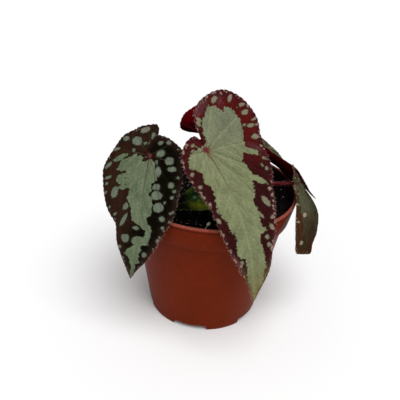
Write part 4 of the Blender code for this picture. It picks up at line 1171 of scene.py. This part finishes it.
def barkMaterial():
    material, tree, shader = newMaterial("crownBark", 0.7, 0.15)
    bands = cloud(objectPlace(tree), 0.5, 4.0, 0.65, (1.0, 1.0, 3.0))
    wire(mixed(ramped(bands, 0.4, 0.65), stem["bark"], stem["stalk"]), shader["Base Color"])
    wire(bumped(bands, 0.5), shader["Normal"])
    return material


def quadratic(start, bend, end, steps):
    # the curve from start to end that is drawn towards bend
    t = np.linspace(0.0, 1.0, steps)[:, None]
    return (1.0 - t) ** 2 * start + 2.0 * t * (1.0 - t) * bend + t * t * end


def stalkPath(leaf):
    # leaves the crown towards its own blade and arrives from behind it
    stalk, _, _, face, _ = leafAxes(leaf)
    bend = stalk - face * leaf["stalkBend"]
    start = np.array(stem["root"])
    away = (bend - start) * (1.0, 1.0, 0.0)
    start = start + away / np.linalg.norm(away) * stem["offset"]
    return quadratic(start, bend, stalk - face * (blade["thickness"] + 0.12), stem["steps"])


def makeStalk(leaf, material, number):
    # a tube that tapers, flares at both ends and is faintly ribbed; gives the hairs on it
    points = stalkPath(leaf)
    share = np.linspace(0.0, 1.0, stem["steps"])[:, None]
    angle = (np.arange(stem["sides"]) * 2.0 * np.pi / stem["sides"])[None]
    radius = leaf["stalkRadius"] * (stem["taper"][0] + (stem["taper"][1] - stem["taper"][0]) * share)
    foot, head = 1.0 - smoothStep(share, 0.0, 0.12), smoothStep(share, 0.95, 1.0)
    ribs = np.cos(5.0 * angle + 3.0 * share)
    rough = softNoise(share * 30.0, angle * 1.5, 1.0, 40 + number)
    radius = radius * (1.0 + 0.25 * foot + 0.28 * head) * (1.0 + 0.045 * ribs + 0.03 * rough)
    grid, faces = tubeGrid(points, radius, stem["sides"])
    length = float(np.linalg.norm(np.diff(points, axis=0), axis=1).sum())
    along = np.stack(np.broadcast_arrays(share * length, np.cos(angle) * leaf["stalkRadius"],
                                         np.sin(angle) * leaf["stalkRadius"]), -1).reshape(-1, 3)
    along = np.concatenate([along, [(0.0, 0.0, 0.0), (length, 0.0, 0.0)]])
    name = leaf["node"].replace("blade", "stalk")
    settle(makePiece(name, grid, faces, [material], values={"along": along}), "red_stalk", "rootstock")
    random = np.random.default_rng(60 + number)
    count = int(stem["hairCount"] * length / stem["hairStretch"])
    at = random.integers(2, stem["steps"] - 2, count)
    way, side, over = alongPath(points)
    turn = random.uniform(0.0, 2.0 * np.pi, (count, 1))
    out = side[at] * np.cos(turn) + over[at] * np.sin(turn)
    shift = way[at] * random.uniform(-0.5, 0.5, (count, 1)) * length / stem["steps"]
    roots = points[at] + shift + out * np.mean(radius, axis=1)[at][:, None]
    ways = out + random.normal(0.0, stem["hairSpread"], (count, 3))
    lengths = random.uniform(*stem["hairLength"], count)
    return hairMesh(roots, ways, lengths, stem["hairThickness"], stem["droop"])


def makeStems():
    # the crown: radius wanders with angle and height, with ring-like scars and a rounded top
    steps, sides = stem["crownSteps"], stem["crownSides"]
    height = np.linspace(stem["crown"][0][0], stem["crown"][-1][0], steps)[:, None]
    angle = (np.arange(sides) * 2.0 * np.pi / sides)[None]
    radius = curveThrough(stem["crown"], height) + 0.10 * np.sin(height * 2.6 + 1.2 * np.sin(angle))
    rough = softNoise(np.cos(angle) * 2.5 + 9.0, height * 0.8 + np.sin(angle) * 2.5, 1.0, 50)
    radius = radius + 0.22 * rough
    middle = np.stack([stem["root"]] * steps)
    middle[:, 2:] = height
    points, faces = tubeGrid(middle, np.maximum(radius, 0.4), sides)
    settle(makePiece("crown", points, faces, [barkMaterial()]), "red_stalk", "rootstock")
    material = stalkMaterial()
    hairs, hairFaces, done = [], [], 0
    for number, leaf in enumerate(leaves):
        points, faces = makeStalk(leaf, material, number)
        hairs.append(points)
        hairFaces += [[corner + done for corner in face] for face in faces]
        done += len(points)
    settle(makePiece("stalk_hairs", np.concatenate(hairs), hairFaces, [paleHair]), "red_stalk")


makeStems()
print("stalks grown")


# Seedling: a tiny pale shoot near the rim, leaning over, with a blunt head

shoot = {
    "place": (-1.5, -34.0), "top": (0.7, -34.6, 68.3), "radius": 0.4, "steps": 22, "sides": 14,
    "heights": (55.0, 58.0, 62.1, 64.0),  # upright to the third, then drawn towards the fourth
    "widths": ((0, 0.95), (10, 0.65), (17, 0.6), (19.6, 1.75), (22, 1.65), (23, 0.5)),  # (step, radii)
    "colour": (216, 218, 184), "deep": (160, 166, 124),
}


def makeShoot():
    material, tree, shader = newMaterial("paleShoot", 0.45)
    place = objectPlace(tree)
    wire(mixed(ramped(cloud(place, 1.3), 0.35, 0.65), shoot["colour"], shoot["deep"]), shader["Base Color"])
    wire(bumped(cloud(place, 4.0), 0.06), shader["Normal"])
    foot, second, start, bend = (np.array((*shoot["place"], height)) for height in shoot["heights"])
    points = quadratic(start, bend, np.array(shoot["top"]), shoot["steps"])
    points = np.concatenate([[foot, second], points])
    radius = shoot["radius"] * curveThrough(shoot["widths"], np.arange(len(points)))[:, None]
    points, faces = tubeGrid(points, radius, shoot["sides"])
    settle(makePiece("sprout", points, faces, [material]), "pale_shoot", "seedling")


makeShoot()
print("seedling set")


# Floor, light and camera

studio = {
    "floorSize": 6000.0, "floorTone": (246, 246, 246), "sky": (255, 255, 255), "skyStrength": 0.40,
    "key": {"from": (0.20, -0.40, 0.90), "angle": 45.0, "strength": 2.35},
    "fill": {"from": (-0.25, -0.85, 0.35), "angle": 80.0, "strength": 0.5},
    "cameraPlace": (0.0, -264.6, 210.3), "lookAt": (0.0, 0.0, 69.0),
    "pan": 0.95, "tilt": -1.55, "roll": -4.72, "lens": 54.77,
}


def makeFloor():
    half = studio["floorSize"] / 2.0
    line = np.linspace(-half, half, 9)
    x, y = np.meshgrid(line, line)
    grid = np.stack([x, y, np.full_like(x, -0.05)], -1).reshape(-1, 3)
    material, tree, shader = newMaterial("floorPaper", 0.8)
    wire(studio["floorTone"], shader["Base Color"])
    floor = makePiece("floor", grid, gridFaces(9, 9).tolist(), [material])


def makeLight(name, about):
    # a wide soft light from far away, so that the floor is lit evenly
    light = bpy.data.lights.new(name, "SUN")
    light.angle = math.radians(about["angle"])
    light.energy = about["strength"]
    lamp = bpy.data.objects.new(name, light)
    lamp.location = Vector(about["from"])
    lamp.rotation_euler = (-lamp.location).to_track_quat("-Z", "Y").to_euler()
    bpy.context.scene.collection.objects.link(lamp)


def makeSky():
    world = bpy.data.worlds.new("studioSky")
    world.use_nodes = True
    sky = world.node_tree.nodes["Background"].inputs
    wire(studio["sky"], sky["Color"])
    wire(studio["skyStrength"], sky["Strength"])
    bpy.context.scene.world = world


def makeCamera():
    # looks at the middle of the rim, then turned a little about its own three ways
    data = bpy.data.cameras.new("camera")
    data.lens, data.sensor_width = studio["lens"], 36.0
    data.clip_start, data.clip_end = 0.01, 20.0
    camera = bpy.data.objects.new("camera", data)
    place = Vector(studio["cameraPlace"])
    turned = (Vector(studio["lookAt"]) - place).to_track_quat("-Z", "Y").to_matrix()
    for degrees, way in ((studio["pan"], "Y"), (studio["tilt"], "X"), (-studio["roll"], "Z")):
        turned = turned @ Matrix.Rotation(math.radians(degrees), 3, way)
    camera.matrix_world = Matrix.Translation(place * mm) @ turned.to_4x4()
    bpy.context.scene.collection.objects.link(camera)
    bpy.context.scene.camera = camera


makeFloor()
makeLight("keyLight", studio["key"])
makeLight("fillLight", studio["fill"])
makeSky()
makeCamera()
bpy.context.scene.view_settings.view_transform = "Standard"
print("studio lit")
